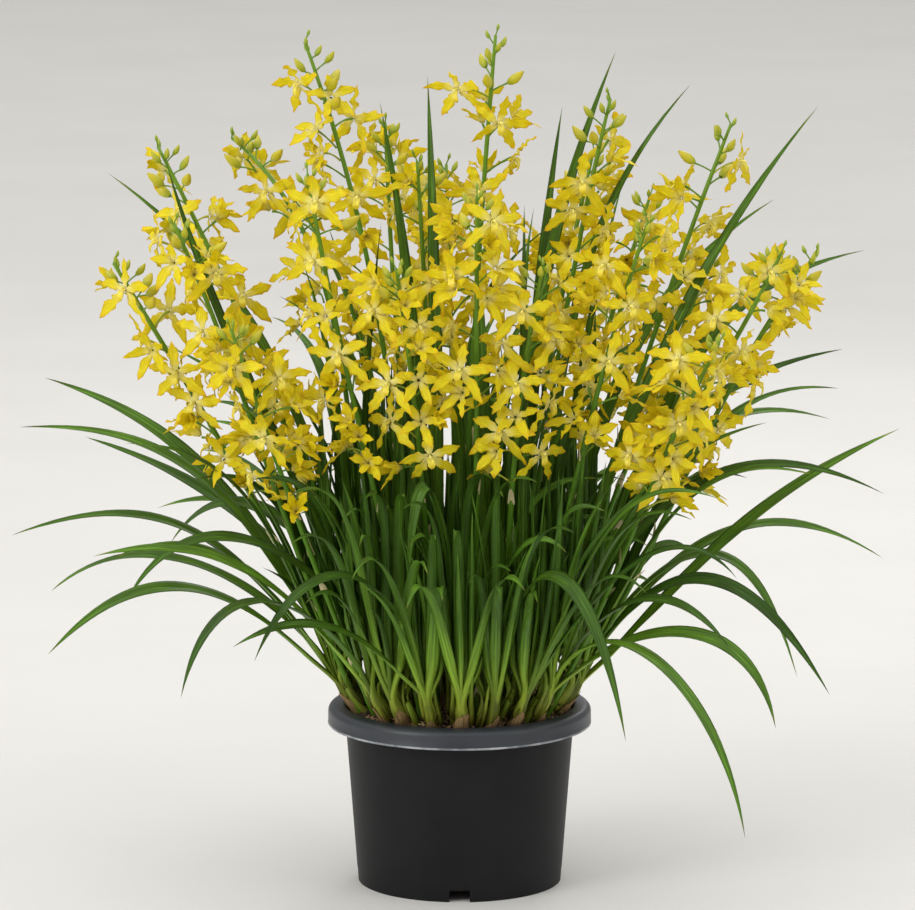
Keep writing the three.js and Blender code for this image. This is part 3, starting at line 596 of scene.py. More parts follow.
spikes = []
for azimuth, radius, tip_x, tip_y, tip_z, rise, end, blooms, buds in SPIKES:
    name = f"spike_{len(spikes) + 1:02d}"
    wanted = heading(azimuth, 0)
    spot = free_spot(wanted[0] * radius, wanted[1] * radius, STEM_RADIUS + 1)
    for attempt in range(STEM_TRIES):
        tip = (tip_x + draw(-1, 1) * attempt * 0.4, tip_y + draw(-1, 1) * attempt * 1.5, tip_z)
        path = Arc((spot[0], spot[1], MIX_TOP), tip, rise, end, STEM_FULLNESS)
        if settle(name, stem_balls, path):
            spikes.append({"name": name, "path": path, "blooms": blooms, "buds": buds, "heads": []})
            break


def place_leaf(shoot, tip, rise, end, fullness, width, tries, ball=LEAF_BALL):
    """A leaf tries its own place first, then places a little to the side and mostly nearer or further."""
    for attempt in range(tries):
        shift = attempt * 0.5
        moved = add(tip, (draw(-1, 1) * shift, draw(-1, 1) * shift * 6, draw(-1, 1) * shift))
        sheath = add(shoot["foot"], shoot["way"], BULB_HEIGHT - LEAF_START)
        root = add(sheath, shoot["upper"], max(-5, min(5, (rise - shoot["lean"]) * 0.3)))
        root_rise = rise + draw(-1, 1) * shift
        path = Arc(root, moved, root_rise, end + draw(-1, 1) * shift, fullness)
        sideways = math.cos(path.azimuth * DEGREE)
        leaf = {"path": path, "width": width, "full": ball == LEAF_BALL, "roll": LEAF_ROLL * sideways,
                "twist": LEAF_TWIST * sideways + draw(-18, 18)}
        if settle(shoot["name"], leaf_balls, leaf, ball):
            shoot["leaves"].append(leaf)
            return


for index, x, y, z, rise, end, fullness in LEAVES:
    place_leaf(shoots[index], (x, y, z), rise, end, fullness, LEAF_WIDTH * draw(0.9, 1.12), PLACED_TRIES)


def open_side(outward, turn):
    """Stalks crowd towards the open side of their stem, away from the middle of the plant."""
    return outward + ((turn - outward + 180) % 360 - 180) * OPEN_SHARE


for spike in spikes:
    path, blooms, buds = spike["path"], spike["blooms"], spike["buds"]
    tip = path.at(1)
    outward = spike["outward"] = math.atan2(tip[1], tip[0]) / DEGREE
    top = spike["top"] = 1 - BUD_SHARE * buds - BARE_SHARE
    first_turn = spike["first_turn"] = draw(0, 360)
    for i in range(blooms):
        for attempt in range(BLOOM_TRIES):
            t = top - flowering(spike) * (i / blooms) + draw(-0.01, 0.01)
            open_turn = open_side(outward, first_turn + i * GOLDEN_ANGLE)
            turn = towards_flat(path, open_turn + draw(-1, 1) * attempt * 5)
            foot = stalk_foot(path, t, turn)
            stalk = heading(turn, 28 + draw(-12, 14))
            centre = add(foot, stalk, PEDICEL_LENGTH * draw(0.85, 1.1))
            look = add(heading(turn, 0), heading(outward, 0), 0.45)
            facing = unit(add(look, (0, -0.45, draw(-0.75, 0.25))))
            head = {"kind": "bloom", "foot": foot, "centre": centre, "facing": facing,
                    "size": TEPAL_LENGTH * draw(0.9, 1.05), "roll": draw(-14, 14)}
            if dot(stalk, facing) > LEAST_TURN and settle(spike["name"], bloom_balls, head):
                spike["heads"].append(head)
                break
    for i in range(buds):
        share = (i + 0.5) / buds
        size = BUD_LENGTH * (1 - 0.55 * share)
        for attempt in range(BUD_TRIES):
            turn = towards_flat(path, first_turn + 70 - i * GOLDEN_ANGLE + draw(-1, 1) * attempt * 6)
            foot = stalk_foot(path, top + (0.985 - top) * share, turn)
            way = heading(turn, 30 + 35 * share + draw(-8, 8))
            base = add(foot, heading(turn, 10 + 30 * share), BUD_STALK * (1 - 0.75 * share))
            head = {"kind": "bud", "foot": foot, "base": base, "way": way, "size": size}
            if settle(spike["name"], bud_balls, head):
                spike["heads"].append(head)
                break

# The rest of the leaves fill the fans, longer and more level in the outer rings
for shoot in reversed(shoots):
    outer = math.hypot(shoot["spot"][0], shoot["spot"][1]) / SHOOT_RINGS[0][0]
    for attempt in range(FAN_TRIES):
        if len(shoot["leaves"]) >= shoot["leaf_count"]:
            break
        azimuth = shoot["azimuth"] + draw(-40, 40) * (1.8 - outer * 0.8)
        towards_viewer = max(0, -math.sin(azimuth * DEGREE))
        reach = (40 + 280 * outer * draw(0.35, 1)) * (1 - 0.45 * towards_viewer)
        height = draw(400 - 140 * outer + 50 * towards_viewer, 740 - 200 * outer - 130 * towards_viewer)
        tip = add((shoot["spot"][0], shoot["spot"][1], 0), heading(azimuth, 0), reach)
        if abs(tip[1]) > DEEPEST_TIP:
            continue
        stand = (height - 230) / 510
        rise = 88 - 32 * outer * (1 - 0.5 * stand) - draw(0, 6)
        end = -60 + 130 * stand + draw(-14, 14)
        place_leaf(shoot, (tip[0], tip[1], height), rise, end, 0.42, LEAF_WIDTH * draw(0.68, 0.98), 1)

# The largest chips of bark lie on top of the mix, wherever nothing grows
CHIP_COUNT = 5
chips = []
for attempt in range(CHIP_TRIES):
    if len(chips) == CHIP_COUNT:
        break
    spot = add((0, 0, 0), heading(draw(0, 360), 0), PLANTED_RADIUS * math.sqrt(draw()))
    size = draw(6, 11)
    turns = (draw(-0.3, 0.3), draw(-0.3, 0.3), draw(0, 3.1))
    is_free = all(math.dist(spot, other) > size * 0.9 + taken + 3 for other, taken in claimed)
    if is_free and settle("potting_mix", list, [(spot[0], spot[1], MIX_TOP, size * 0.75 + 1, 0)]):
        chips.append((spot, size, turns))

# Shoots: living bulbs wrapped in the clasping bases of their leaves, some gone brown and papery.
# Each carries a fan of strap leaves, thin and keeled along the midrib, rooted in the mix by its bulb.
BULB_SIDES, BULB_ROWS, YOUNG_SIDES, YOUNG_ROWS = 18, 12, 9, 6
LEAF_ROWS, NARROW_ROWS, CLASP_ROWS = 38, 19, 4
LEAF_THICKNESS, SHEATH_COLUMNS = 0.7, 15
# Shares of the bulb's height: where the leaves' bases start in turn, and how high its loose sheaths reach
CLASP_STARTS, SHEATH_REACH = (0.06, 0.4, 0.2, 0.55, 0.3), (0.95, 0.6, 0.8)
# How far up its own length a leaf comes free of the sleeve that clasps the bulb, in mm
FREE_FROM = 44.0
# Real sizes in mm, across and along the fibres
VEIN_SIZE, BLOTCH_SIZE = (1.5, 50, 1), (8.33, 50, 1)
RIB_SIZE, DRY_FIBRE_SIZE = (1.111, 33.33, 1), (0.769, 20, 1)
# The paler greens low on the blade are partly the leaf's own pale base and partly a painted glow of light
# through it
LEAF_MID, LEAF_PALE_AND_GLOW, LEAF_DARK, LEAF_TIP = "#557C20", "#7BA22C", "#335212", "#8A7434"
LEAF_FRESH_AND_GLOW, OLD_TIP = "#54801C", "#55702A"
BASE_SOIL, BASE_OLIVE, BASE_LIME = "#4A3C1C", "#6C7024", "#86982A"
SHEATH_SOIL, SHEATH_OLIVE, SHEATH_GREEN, SHEATH_LIME = "#54431F", "#857A34", "#86982E", "#7C9A2A"
SHEATH_TAN, SHEATH_STRAW, SHEATH_BROWN = "#C4A26C", "#8F744A", "#5E4528"
RANGE = ("Value", "From Min", "From Max", "To Min", "To Max")
grow = np.random.default_rng(41)


def mapped(tree, layer):
    """A map of a grown piece, whole and split: fibre is mm across and along, growth is share and age."""
    place = add_node(tree, "ShaderNodeUVMap", uv_map=layer)
    split = add_node(tree, "ShaderNodeSeparateXYZ", {"Vector": place})
    return place, split.outputs["X"], split.outputs["Y"]


def ageing(tree, share, age, young, old):
    """Tints along a piece, from its foot to its tip, that pass from young to old with its age."""
    tints = [add_node(tree, "ShaderNodeValToRGB", {"Fac": share}, stops) for stops in (young, old)]
    return add_node(tree, "ShaderNodeMix", {"Factor": age, "A": tints[0], "B": tints[1]}, data_type="RGBA")


def streaked(name, size, detail, stops, light, finish, relief=None):
    """A material whose tint changes from foot to tip, with lighter and darker streaks along its fibres."""
    material, tree = new_material(name)
    share = mapped(tree, "growth")[1]
    fibre = add_node(tree, "ShaderNodeUVMap", uv_map="fibre")
    scale = [1 / length for length in size]
    stretched = add_node(tree, "ShaderNodeMapping", {"Vector": fibre, "Scale": scale})
    streaks = add_node(tree, "ShaderNodeTexNoise", {"Vector": stretched, "Scale": 1.0, "Detail": detail})
    tint = add_node(tree, "ShaderNodeValToRGB", {"Fac": share}, stops)
    shade = add_node(tree, "ShaderNodeMapRange", dict(zip(RANGE, (streaks, 0.3, 0.7, *light))))
    tint = add_node(tree, "ShaderNodeVectorMath", {0: tint, "Scale": shade}, operation="SCALE")
    finish["Base Color"] = tint
    if relief:
        finish["Normal"] = add_node(tree, "ShaderNodeBump", {"Height": streaks, **relief})
    surface = add_node(tree, "ShaderNodeBsdfPrincipled", finish)
    add_node(tree, "ShaderNodeOutputMaterial", {"Surface": surface})
    return material


# Leaf blade: waxy green, finely veined lengthwise, with a pale midrib, olive and brown on its clasping base
leaf_blade, tree = new_material("waxy_strap_leaf")
fibre, across, along = mapped(tree, "fibre")
share, age = mapped(tree, "growth")[1:]
places = [add_node(tree, "ShaderNodeMapping", {"Vector": fibre, "Scale": [1 / length for length in size]})
          for size in (VEIN_SIZE, BLOTCH_SIZE)]
veins, patches = (add_node(tree, "ShaderNodeTexNoise", {"Vector": place, "Scale": 1.0, "Detail": detail})
                  for place, detail in zip(places, (3.0, 2.0)))
# Both tints are paler low on the blade: partly its own pale base, partly a painted glow of light through the
# leaf
aged = ageing(tree, share, age, [(0.12, LEAF_PALE_AND_GLOW), (0.52, LEAF_MID), (0.955, LEAF_MID), (0.99, LEAF_TIP)],
              [(0.1, LEAF_FRESH_AND_GLOW), (0.44, LEAF_DARK), (0.98, LEAF_DARK), (1.0, OLD_TIP)])
base_reach = add_node(tree, "ShaderNodeMapRange", {"Value": along, "From Min": -33.0, "From Max": 60.0})
base_tone = add_node(tree, "ShaderNodeValToRGB", {"Fac": base_reach},
                     [(0.0, BASE_SOIL), (0.22, BASE_OLIVE), (0.5, BASE_LIME), (1.0, LEAF_PALE_AND_GLOW)])
base_fade = add_node(tree, "ShaderNodeMapRange", dict(zip(RANGE, (along, 5.0, 90.0, 1.0, 0.0))))
dulled = add_node(tree, "ShaderNodeMapRange", {"Value": age, "To Min": 1.15, "To Max": 0.42})
base_tone = add_node(tree, "ShaderNodeVectorMath", {0: base_tone, "Scale": dulled}, operation="SCALE")
grown = add_node(tree, "ShaderNodeMix", {"Factor": base_fade, "A": aged, "B": base_tone}, data_type="RGBA")
off_middle = add_node(tree, "ShaderNodeMath", {0: across}, operation="ABSOLUTE")
streak, cloud, midrib = (add_node(tree, "ShaderNodeMapRange", dict(zip(RANGE, limits))) for limits in (
    (veins, 0.35, 0.65, 0.62, 1.3), (patches, 0.3, 0.7, 0.78, 1.2), (off_middle, 0.3, 1.1, 1.35, 1.0)))
mottled = add_node(tree, "ShaderNodeMath", {0: streak, 1: cloud}, operation="MULTIPLY")
light = add_node(tree, "ShaderNodeMath", {0: mottled, 1: midrib}, operation="MULTIPLY")
blade = add_node(tree, "ShaderNodeVectorMath", {0: grown, "Scale": light}, operation="SCALE")
relief = add_node(tree, "ShaderNodeBump", {"Height": veins, "Strength": 0.35, "Distance": 0.0006})
surface = add_node(tree, "ShaderNodeBsdfPrincipled", {
    "Base Color": blade, "Roughness": 0.44, "IOR": 1.45, "Normal": relief, "Specular IOR Level": 0.3})
add_node(tree, "ShaderNodeOutputMaterial", {"Surface": surface})

# Living sheath: the pale ribbed base of a leaf that wraps the bulb, with a dull sheen on its ribs
living_sheath = streaked("ribbed_living_sheath", RIB_SIZE, 4.0,
                         [(0.0, SHEATH_SOIL), (0.16, SHEATH_OLIVE), (0.5, SHEATH_GREEN), (1.0, SHEATH_LIME)],
                         (0.5, 1.25), {"Roughness": 0.5, "Specular IOR Level": 0.3},
                         {"Strength": 0.5, "Distance": 0.0008})

# Dead sheath: the same base dried to matt brown paper, split along its fibres
dead_sheath = tinted("dry_papery_sheath", DRY_FIBRE_SIZE, 6.0,
                     [(0.32, SHEATH_BROWN), (0.5, SHEATH_STRAW), (0.68, SHEATH_TAN)],
                     {"Roughness": 0.8}, {"Strength": 0.7, "Distance": 0.001}, fibre=True)


def paired(first, second):
    """Two values for each point, as one map."""
    return np.stack(np.broadcast_arrays(first, second), -1)


def bulb_size(share, girth=1):
    """Half width and half depth of the bundled leaf bases at a share of their height."""
    swell = girth * np.interp(share, [0, 0.08, 0.26, 0.6, 0.86, 1.0], [0.5, 0.66, 0.76, 0.68, 0.56, 0.4])
    return BULB_WIDTH / 2 * swell, BULB_DEPTH / 2 * swell


def wrapped(shoot, heights, angles, lift):
    """Places round a shoot's bulb at shares of its height; the lift stands them off its skin."""
    wide, deep = bulb_size(heights, shoot.get("girth", 1))
    edged = 1 - 0.22 * np.sin(angles) ** 2 * np.abs(np.cos(angles))
    return placed(shoot["foot"], (shoot["way"], heights * BULB_HEIGHT),
                  (shoot["upper"], -(wide + lift) * np.cos(angles)),
                  (shoot["side"], (deep + lift) * edged * np.sin(angles)))


def add_bulb(skin, shoot):
    """The bundled leaf bases, and on a grown shoot the looser sheaths round them; the last one is torn."""
    is_grown = "girth" not in shoot
    sides, rows = (BULB_SIDES, BULB_ROWS) if is_grown else (YOUNG_SIDES, YOUNG_ROWS)
    around = np.linspace(2 * math.pi, 0, sides, endpoint=False)
    heights = np.linspace(-0.06, 0.9, rows)[:, None]
    add_grid(skin, wrapped(shoot, heights, around, 0), paired(around * 8, heights * BULB_HEIGHT),
             paired(heights, around * 0), 1, True, tip=add(shoot["foot"], shoot["way"], BULB_HEIGHT * 0.92))
    for layer, reach in enumerate(SHEATH_REACH if is_grown else ()):
        high = reach + grow.uniform(-0.16, 0.1)
        opening = layer * math.pi + grow.uniform(-0.9, 0.9)
        torn = layer == len(SHEATH_REACH) - 1
        half_wrap = math.radians(grow.uniform(60, 115) if torn else 140 + 12 * layer)
        share = np.linspace(1, -1, SHEATH_COLUMNS)
        point = high * (1 - 0.5 * np.abs(share) ** 1.3) * (1 + 0.05 * grow.standard_normal(SHEATH_COLUMNS))
        levels = np.linspace(-0.05, 1, 7)[:, None]
        flare = np.clip(levels, 0, 1) ** 4 * grow.uniform(0.2, 1.6, SHEATH_COLUMNS)
        lift = (2.9 if torn else 0.3 + 0.35 * layer) + flare
        heights, angles = levels * point, share * half_wrap + opening
        dried = torn or grow.random() < 0.4
        add_grid(skin, wrapped(shoot, heights, angles, lift),
                 paired(angles * 8 + layer * 30, heights * BULB_HEIGHT), paired(heights, angles * 0),
                 2 if dried else 1)


# Cross-section of a blade: share of the half width, depth below the edges as a share of the keel, its face
WIDE_BLADE = [(-1, 0, 0), (-0.6, 0.34, 0), (-0.16, 0.68, 0), (0, 0.86, 0), (0.16, 0.68, 0), (0.6, 0.34, 0),
              (1, 0, 0), (0.6, 0.36, 1), (0.14, 0.76, 1), (0, 0.94, 1), (-0.14, 0.76, 1), (-0.6, 0.36, 1)]
NARROW_BLADE = [(-1, 0, 0), (-0.5, 0.4, 0), (0, 0.86, 0), (0.5, 0.4, 0), (1, 0, 0),
                (0.5, 0.45, 1), (0, 0.94, 1), (-0.5, 0.45, 1)]


def add_leaf(skin, shoot, leaf, order):
    """A leaf's base clasps the bulb as a split sleeve, opens into a folded blade and ends in a point."""
    length = leaf["path"].length
    blade_rows, section = (LEAF_ROWS, WIDE_BLADE) if leaf["full"] else (NARROW_ROWS, NARROW_BLADE)
    a, depth, under = np.array(section).T
    tone = grow.uniform(0, 1)
    wave, phase = grow.uniform(0.1, 0.5), grow.uniform(0, 6.28)
    rows, fibre_map = [], []
    across, upper = leaf_frame(leaf, 0)[1:]
    middle = math.atan2(-dot(upper, shoot["side"]), dot(upper, shoot["upper"]))
    turning = math.copysign(1, dot(across, shoot["upper"]) * math.sin(middle)
                            + dot(across, shoot["side"]) * math.cos(middle))
    root_height = 1 - LEAF_START / BULB_HEIGHT

    def clasping(height, width):
        return wrapped(shoot, height, middle + turning * a * width, 0.5 + 0.45 * (order % 5) + 0.6 * under)

    for share in np.linspace(0, 1, CLASP_ROWS, endpoint=False):
        start = CLASP_STARTS[order % len(CLASP_STARTS)]
        height = start + (root_height - start) * share
        rows.append(clasping(height, 0.4 + 1.5 * math.sqrt(share + 0.04) * (1.1 - 0.35 * share)))
        fibre_map.append(paired(a * 5 * shoot.get("girth", 1), (height - root_height) * BULB_HEIGHT))
    for t in (np.linspace(0, 1, blade_rows) ** 1.15)[:-1]:
        centre, across, upper = leaf_frame(leaf, t)
        half = max(leaf_width(leaf, t), leaf["width"] * 0.6 * (t < 0.2)) / 2
        folded = max(0, 1 - t / 0.22)
        keel = LEAF_KEEL * (1.45 - 0.75 * t + 0.7 * folded) * min(1, half / 4 + 0.3)
        half *= 1 - 0.16 * folded
        ripple = a * wave * math.sin(phase + t * length / 17)
        thick = LEAF_THICKNESS * (1 - 0.5 * t)
        row = placed(centre, (across, a * half), (upper, -(depth * keel + ripple + under * thick)))
        free = min(1, t * length / FREE_FROM)
        free = free * free * (3 - 2 * free)
        if free < 1:
            sleeve = clasping(root_height + t * length / BULB_HEIGHT, 1.45 - 0.5 * free)
            row = sleeve + (row - sleeve) * free
        rows.append(row)
        fibre_map.append(paired(a * half, t * length))
    fibre_map = np.array(fibre_map)[:, ::-1]
    growth_map = paired(np.clip(fibre_map[..., 1] / length, 0, 1), tone)
    add_grid(skin, np.array(rows)[:, ::-1], fibre_map, growth_map, 0, True, root=rows[0].mean(0),
             tip=leaf["path"].at(1))


def within(place, reach):
    return all(low < c < high for c, low, high in zip(place, *reach))


# Young growths: thin sheaths with a few short leaves that come up between the shoots
YOUNG_GROWTHS, YOUNG_RADIUS, YOUNG_GIRTH, YOUNG_TRIES = 2, 3.0, 0.62, 20
SPREAD_MARGIN = 8.0
for shoot in shoots:
    low, high = (np.array(corner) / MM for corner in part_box(shoot["name"]))
    shoot["reach"] = (low - SPREAD_MARGIN, high + SPREAD_MARGIN)
    shoot["young"] = []
    for attempt in range(YOUNG_TRIES):
        beside = heading(shoot["azimuth"] + grow.uniform(80, 280), 0)
        spot = add((shoot["spot"][0], shoot["spot"][1], 0), beside, grow.uniform(9, 16))
        free = all(math.dist(spot, other) > YOUNG_RADIUS + taken + 0.5 for other, taken in claimed)
        wanted = len(shoot["young"]) < YOUNG_GROWTHS and math.hypot(spot[0], spot[1]) < PLANTED_RADIUS
        if free and wanted and within(spot[:2], shoot["reach"]):
            claimed.append((spot, YOUNG_RADIUS))
            foot = (spot[0], spot[1], MIX_TOP)
            shoot["young"].append(dict(shoot, spot=spot, foot=foot, girth=YOUNG_GIRTH, leaves=[]))


def fill_with_leaves(shoot, wanted, tries, reach, height, width):
    """Narrow leaves rise from a shoot at places that are free and within the spread of its piece."""
    for attempt in range(tries):
        if len(shoot["leaves"]) >= wanted:
            break
        spread = heading(shoot["azimuth"] + grow.uniform(-75, 75), 0)
        out = grow.uniform(*reach)
        tip = add((shoot["spot"][0], shoot["spot"][1], grow.uniform(*height)), spread, out)
        rise = min(88, shoot["lean"] + grow.uniform(-2, 20))
        sight = math.atan2(tip[2] - MIX_TOP - BULB_HEIGHT, out) / DEGREE
        if within(tip, shoot["reach"]):
            end = 2 * sight - rise + grow.uniform(-16, 4)
            place_leaf(shoot, tip, rise, end, 0.38, grow.uniform(*width), 1, INNER_GAP)


# More leaves stand wherever there is room, tall ones among the spikes and low ones inside: how many there are
# to a shoot, how far their tips reach sideways, how high, and how wide they are
MORE_LEAVES = [(8, (10, 150), (400, 700), (9.5, 13)), (6, (20, 140), (300, 520), (7.5, 9.5))]
LEAF_TRIES, INNER_GAP = 240, 1.5
for more, *limits in MORE_LEAVES:
    for shoot in shoots:
        fill_with_leaves(shoot, len(shoot["leaves"]) + more, LEAF_TRIES, *limits)
# The first of two young growths has fewer and shorter leaves: how many, how many tries, and the same limits
YOUNG_LEAVES = [(4, 50, (8, 70), (235, 360), (5, 7.5)), (5, 120, (8, 90), (320, 540), (6.5, 8.5))]
for shoot in shoots:
    for young, limits in zip(shoot["young"], YOUNG_LEAVES):
        fill_with_leaves(young, *limits)

SHOOT_MATERIALS = [leaf_blade, living_sheath, dead_sheath]
for shoot in shoots:
    shoot_skin = new_skin()
    for growth in [shoot] + shoot["young"]:
        add_bulb(shoot_skin, growth)
        for order, leaf in enumerate(growth["leaves"]):
            add_leaf(shoot_skin, growth, leaf, order)
    make_piece(shoot["name"] + "_fan", shoot_skin, SHOOT_MATERIALS, "leaves", shoot["name"])

# Flower spikes: living green stems, ringed at their joints, where thin cream bracts clasp them.
# Blooms and buds stand off the stem on slender stalks; each bloom has five wavy tepals, a lip and a column.
STEM_ROWS, STEM_COLUMNS, STALK_RADIUS = 64, 10, 0.85
TEPAL_ROWS, TEPAL_COLUMNS, PETAL_THICKNESS = 13, 6, 0.45
# Shares of a tepal's length, and of its half width there
TEPAL_OUTLINE = [0, 0.12, 0.34, 0.55, 0.76, 0.9, 1], [0.34, 0.5, 0.84, 0.94, 0.76, 0.42, 0.05]
# Real sizes in mm, across and along the fibres
STREAK_SIZE, PAPER_SIZE, PETAL_VEIN_SIZE = (1.25, 12.5, 1), (0.667, 6.67, 1), (0.909, 11.11, 1)
STEM_FOOT, STEM_GREEN, STEM_PALE, STALK_YELLOW = "#567F1C", "#56831C", "#74992A", "#C2BC3C"
BRACT_DULL, BRACT_CREAM = "#B9A974", "#E2D8AC"
PETAL_DEEP, PETAL_BRIGHT, PETAL_PALE, PETAL_EDGE = "#F1E014", "#FCEE2E", "#FCF4A8", "#F4CC1C"
LIP_PALE, LIP_YELLOW, LIP_DEEP = "#F5EA86", "#F2DE46", "#EACB1C"
BUD_FOOT, BUD_YELLOW, BUD_RIPE, BUD_DULL = "#A6AE2C", "#D8C824", "#DFC422", "#A89A28"
BUD_LEAF, BUD_GREEN, BUD_LIME = "#6F9A24", "#8FA628", "#B4B836"
TIP_BUDS = (23.0, 21.0, 18.0, 15.0, 12.0, 9.0, 7.0)
BUD_GIRTH = 0.23

# Stem: smooth juicy flesh with a soft gloss, yellow-green, and yellower on the stalks
stem_flesh = streaked("juicy_green_stem", STREAK_SIZE, 3.0,
                      [(0.0, STEM_FOOT), (0.55, STEM_GREEN), (0.8, STEM_PALE), (1.0, STALK_YELLOW)],
                      (0.8, 1.15), {"Roughness": 0.38, "IOR": 1.42, "Specular IOR Level": 0.35})

# Bract: dry cream paper, matt, with fine fibres along it
bract_paper = tinted("cream_papery_bract", PAPER_SIZE, 3.0, [(0.35, BRACT_DULL), (0.65, BRACT_CREAM)],
                     {"Roughness": 0.75}, fibre=True)

# Petal: soft matt yellow with a silky glow, paler at the throat and amber along the frilled edges
petal_silk, tree = new_material("silky_yellow_petal")
fibre, across = mapped(tree, "fibre")[:2]
share, age = mapped(tree, "growth")[1:]
stretched = add_node(tree, "ShaderNodeMapping", {
    "Vector": fibre, "Scale": [1 / length for length in PETAL_VEIN_SIZE]})
veins = add_node(tree, "ShaderNodeTexNoise", {"Vector": stretched, "Scale": 1.0, "Detail": 3.0})
aged = ageing(tree, share, age, *(
    [(0.0, PETAL_PALE), (open_from, middle), (0.74, middle), (1.0, PETAL_EDGE)]
    for open_from, middle in ((0.42, PETAL_BRIGHT), (0.3, PETAL_DEEP))))
edge_reach = add_node(tree, "ShaderNodeMath", {0: across}, operation="ABSOLUTE")
edge, shade = (add_node(tree, "ShaderNodeMapRange", dict(zip(RANGE, limits)))
               for limits in ((edge_reach, 2.8, 6.0, 0.0, 0.6), (veins, 0.3, 0.7, 0.82, 1.15)))
amber = linear(PETAL_EDGE)
tinged = add_node(tree, "ShaderNodeMix", {"Factor": edge, "A": aged, "B": amber}, data_type="RGBA")
body = add_node(tree, "ShaderNodeVectorMath", {0: tinged, "Scale": shade}, operation="SCALE")
relief = add_node(tree, "ShaderNodeBump", {"Height": veins, "Strength": 0.3, "Distance": 0.0005})
surface = add_node(tree, "ShaderNodeBsdfPrincipled", {
    "Base Color": body, "Roughness": 0.55, "Normal": relief, "Specular IOR Level": 0.25})
glow = add_node(tree, "ShaderNodeBsdfTranslucent", {"Color": body})
thin = add_node(tree, "ShaderNodeMixShader", {"Fac": 0.3, 1: surface, 2: glow})
add_node(tree, "ShaderNodeOutputMaterial", {"Surface": thin})

# Lip and column: firmer, smoother flesh of a paler yellow, waxy where it catches the light
lip_wax, tree = new_material("waxy_pale_lip")
tint = add_node(tree, "ShaderNodeValToRGB", {"Fac": mapped(tree, "growth")[1]},
                [(0.0, LIP_PALE), (0.5, LIP_YELLOW), (1.0, LIP_DEEP)])
surface = add_node(tree, "ShaderNodeBsdfPrincipled", {
    "Base Color": tint, "Roughness": 0.35, "Subsurface Weight": 0.2,
    "Subsurface Radius": (0.003, 0.002, 0.0006), "Subsurface Scale": 1.0})
add_node(tree, "ShaderNodeOutputMaterial", {"Surface": surface})

# Bud: closed yellow-green tepals with a soft gloss, greener at the base and towards the youngest
bud_flesh, tree = new_material("closed_bud")
tint = ageing(tree, *mapped(tree, "growth")[1:],
              [(0.0, BUD_FOOT), (0.35, BUD_YELLOW), (0.85, BUD_RIPE), (1.0, BUD_DULL)],
              [(0.0, BUD_LEAF), (0.6, BUD_GREEN), (1.0, BUD_LIME)])
surface = add_node(tree, "ShaderNodeBsdfPrincipled", {
    "Base Color": tint, "Roughness": 0.42, "Subsurface Weight": 0.1,
    "Subsurface Radius": (0.002, 0.002, 0.0005), "Subsurface Scale": 1.0})
add_node(tree, "ShaderNodeOutputMaterial", {"Surface": surface})

SPIKE_MATERIALS = [stem_flesh, bract_paper, petal_silk, lip_wax, bud_flesh]
STEM_SLOT, BRACT_SLOT, PETAL_SLOT, LIP_SLOT, BUD_SLOT = range(5)


def tube(centres, radii, columns):
    """Rings of points along a line; the rings turn with the line without spinning on it."""
    centres = np.asarray(centres, float)
    along = np.gradient(centres, axis=0)
    along /= np.linalg.norm(along, axis=1, keepdims=True)
    start = np.cross(along[0], (0.0, 0.0, 1.0))
    if np.linalg.norm(start) < 0.1:
        start = np.cross(along[0], (1.0, 0.0, 0.0))
    angles = np.linspace(0, 2 * math.pi, columns, endpoint=False)
    rows = []
    for centre, way, radius in zip(centres, along, np.broadcast_to(radii, len(centres))):
        start = start - way * np.dot(start, way)
        start /= np.linalg.norm(start)
        beside = np.cross(way, start)
        rows.append(centre + radius * (np.outer(np.cos(angles), start) + np.outer(np.sin(angles), beside)))
    return np.array(rows)


def curve_between(start, end, bow, count):
    """Points of a shallow bow from one place to another."""
    t = np.linspace(0, 1, count)
    return placed(start, (np.subtract(end, start), t), (bow, 4 * t * (1 - t)))


def add_bract(skin, foot, way, outward, length, width):
    """A pointed papery scale that clasps the stem at its foot and stands off at its tip."""
    t, a = np.linspace(0, 1, 6)[:, None], np.linspace(-1, 1, 5)
    side = a * (width / 2 * np.sqrt(np.clip(1 - t ** 1.5, 0, 1)) + 0.05)
    off = 0.6 + length * 0.28 * t ** 1.8 - side ** 2 / (width * 1.2) * (1 - 0.6 * t)
    rows = placed(foot, (way, length * t), (outward, off), (cross(way, outward), side))
    add_grid(skin, rows, paired(side, length * t), (0, 0), BRACT_SLOT)


def add_stem(skin, spike):
    """The stem tapers from the mix to its tip and swells at each joint, where a bract clasps it."""
    path = spike["path"]
    shares = np.linspace(0, 1, STEM_ROWS)
    centres = [add(path.at(0), (0, 0, -3))] + [path.at(t) for t in shares]
    shares = np.concatenate([[0], shares])
    radii = 0.95 * stem_radius(shares) + np.interp(shares, [0, 0.9, 1], [0, 0.8, 0.3])
    joints = np.linspace(0.06, spike["top"] - flowering(spike) - 0.04, 6)
    for joint in joints:
        radii = radii + 0.5 * np.exp(-((shares - joint) * path.length / 2.5) ** 2)
    around, shares = np.linspace(0, 16, STEM_COLUMNS), shares[:, None]
    add_grid(skin, tube(centres, radii, STEM_COLUMNS), paired(around, shares * path.length),
             paired(shares * 0.8, around * 0), STEM_SLOT, True, tip=path.at(1))
    for i, joint in enumerate(joints):
        outward = heading(spike["first_turn"] + 180 * i, 0)
        way = path.along(joint)
        outward = unit(add(outward, way, -dot(outward, way)))
        foot = add(path.at(joint), outward, stem_radius(joint) * 0.7)
        add_bract(skin, foot, way, outward, grow.uniform(13, 20), 7.0)


def add_stalk(skin, start, end, bow, thin, thick, ripeness):
    """A slender stalk off the stem, thinnest halfway and thicker at both ends."""
    radii = np.interp(np.linspace(0, 1, 7), [0, 0.5, 1], [thin * 1.25, thin, thick])
    add_grid(skin, tube(curve_between(start, end, bow, 7), radii, 6), (0, 0), (ripeness, 0), STEM_SLOT, True)


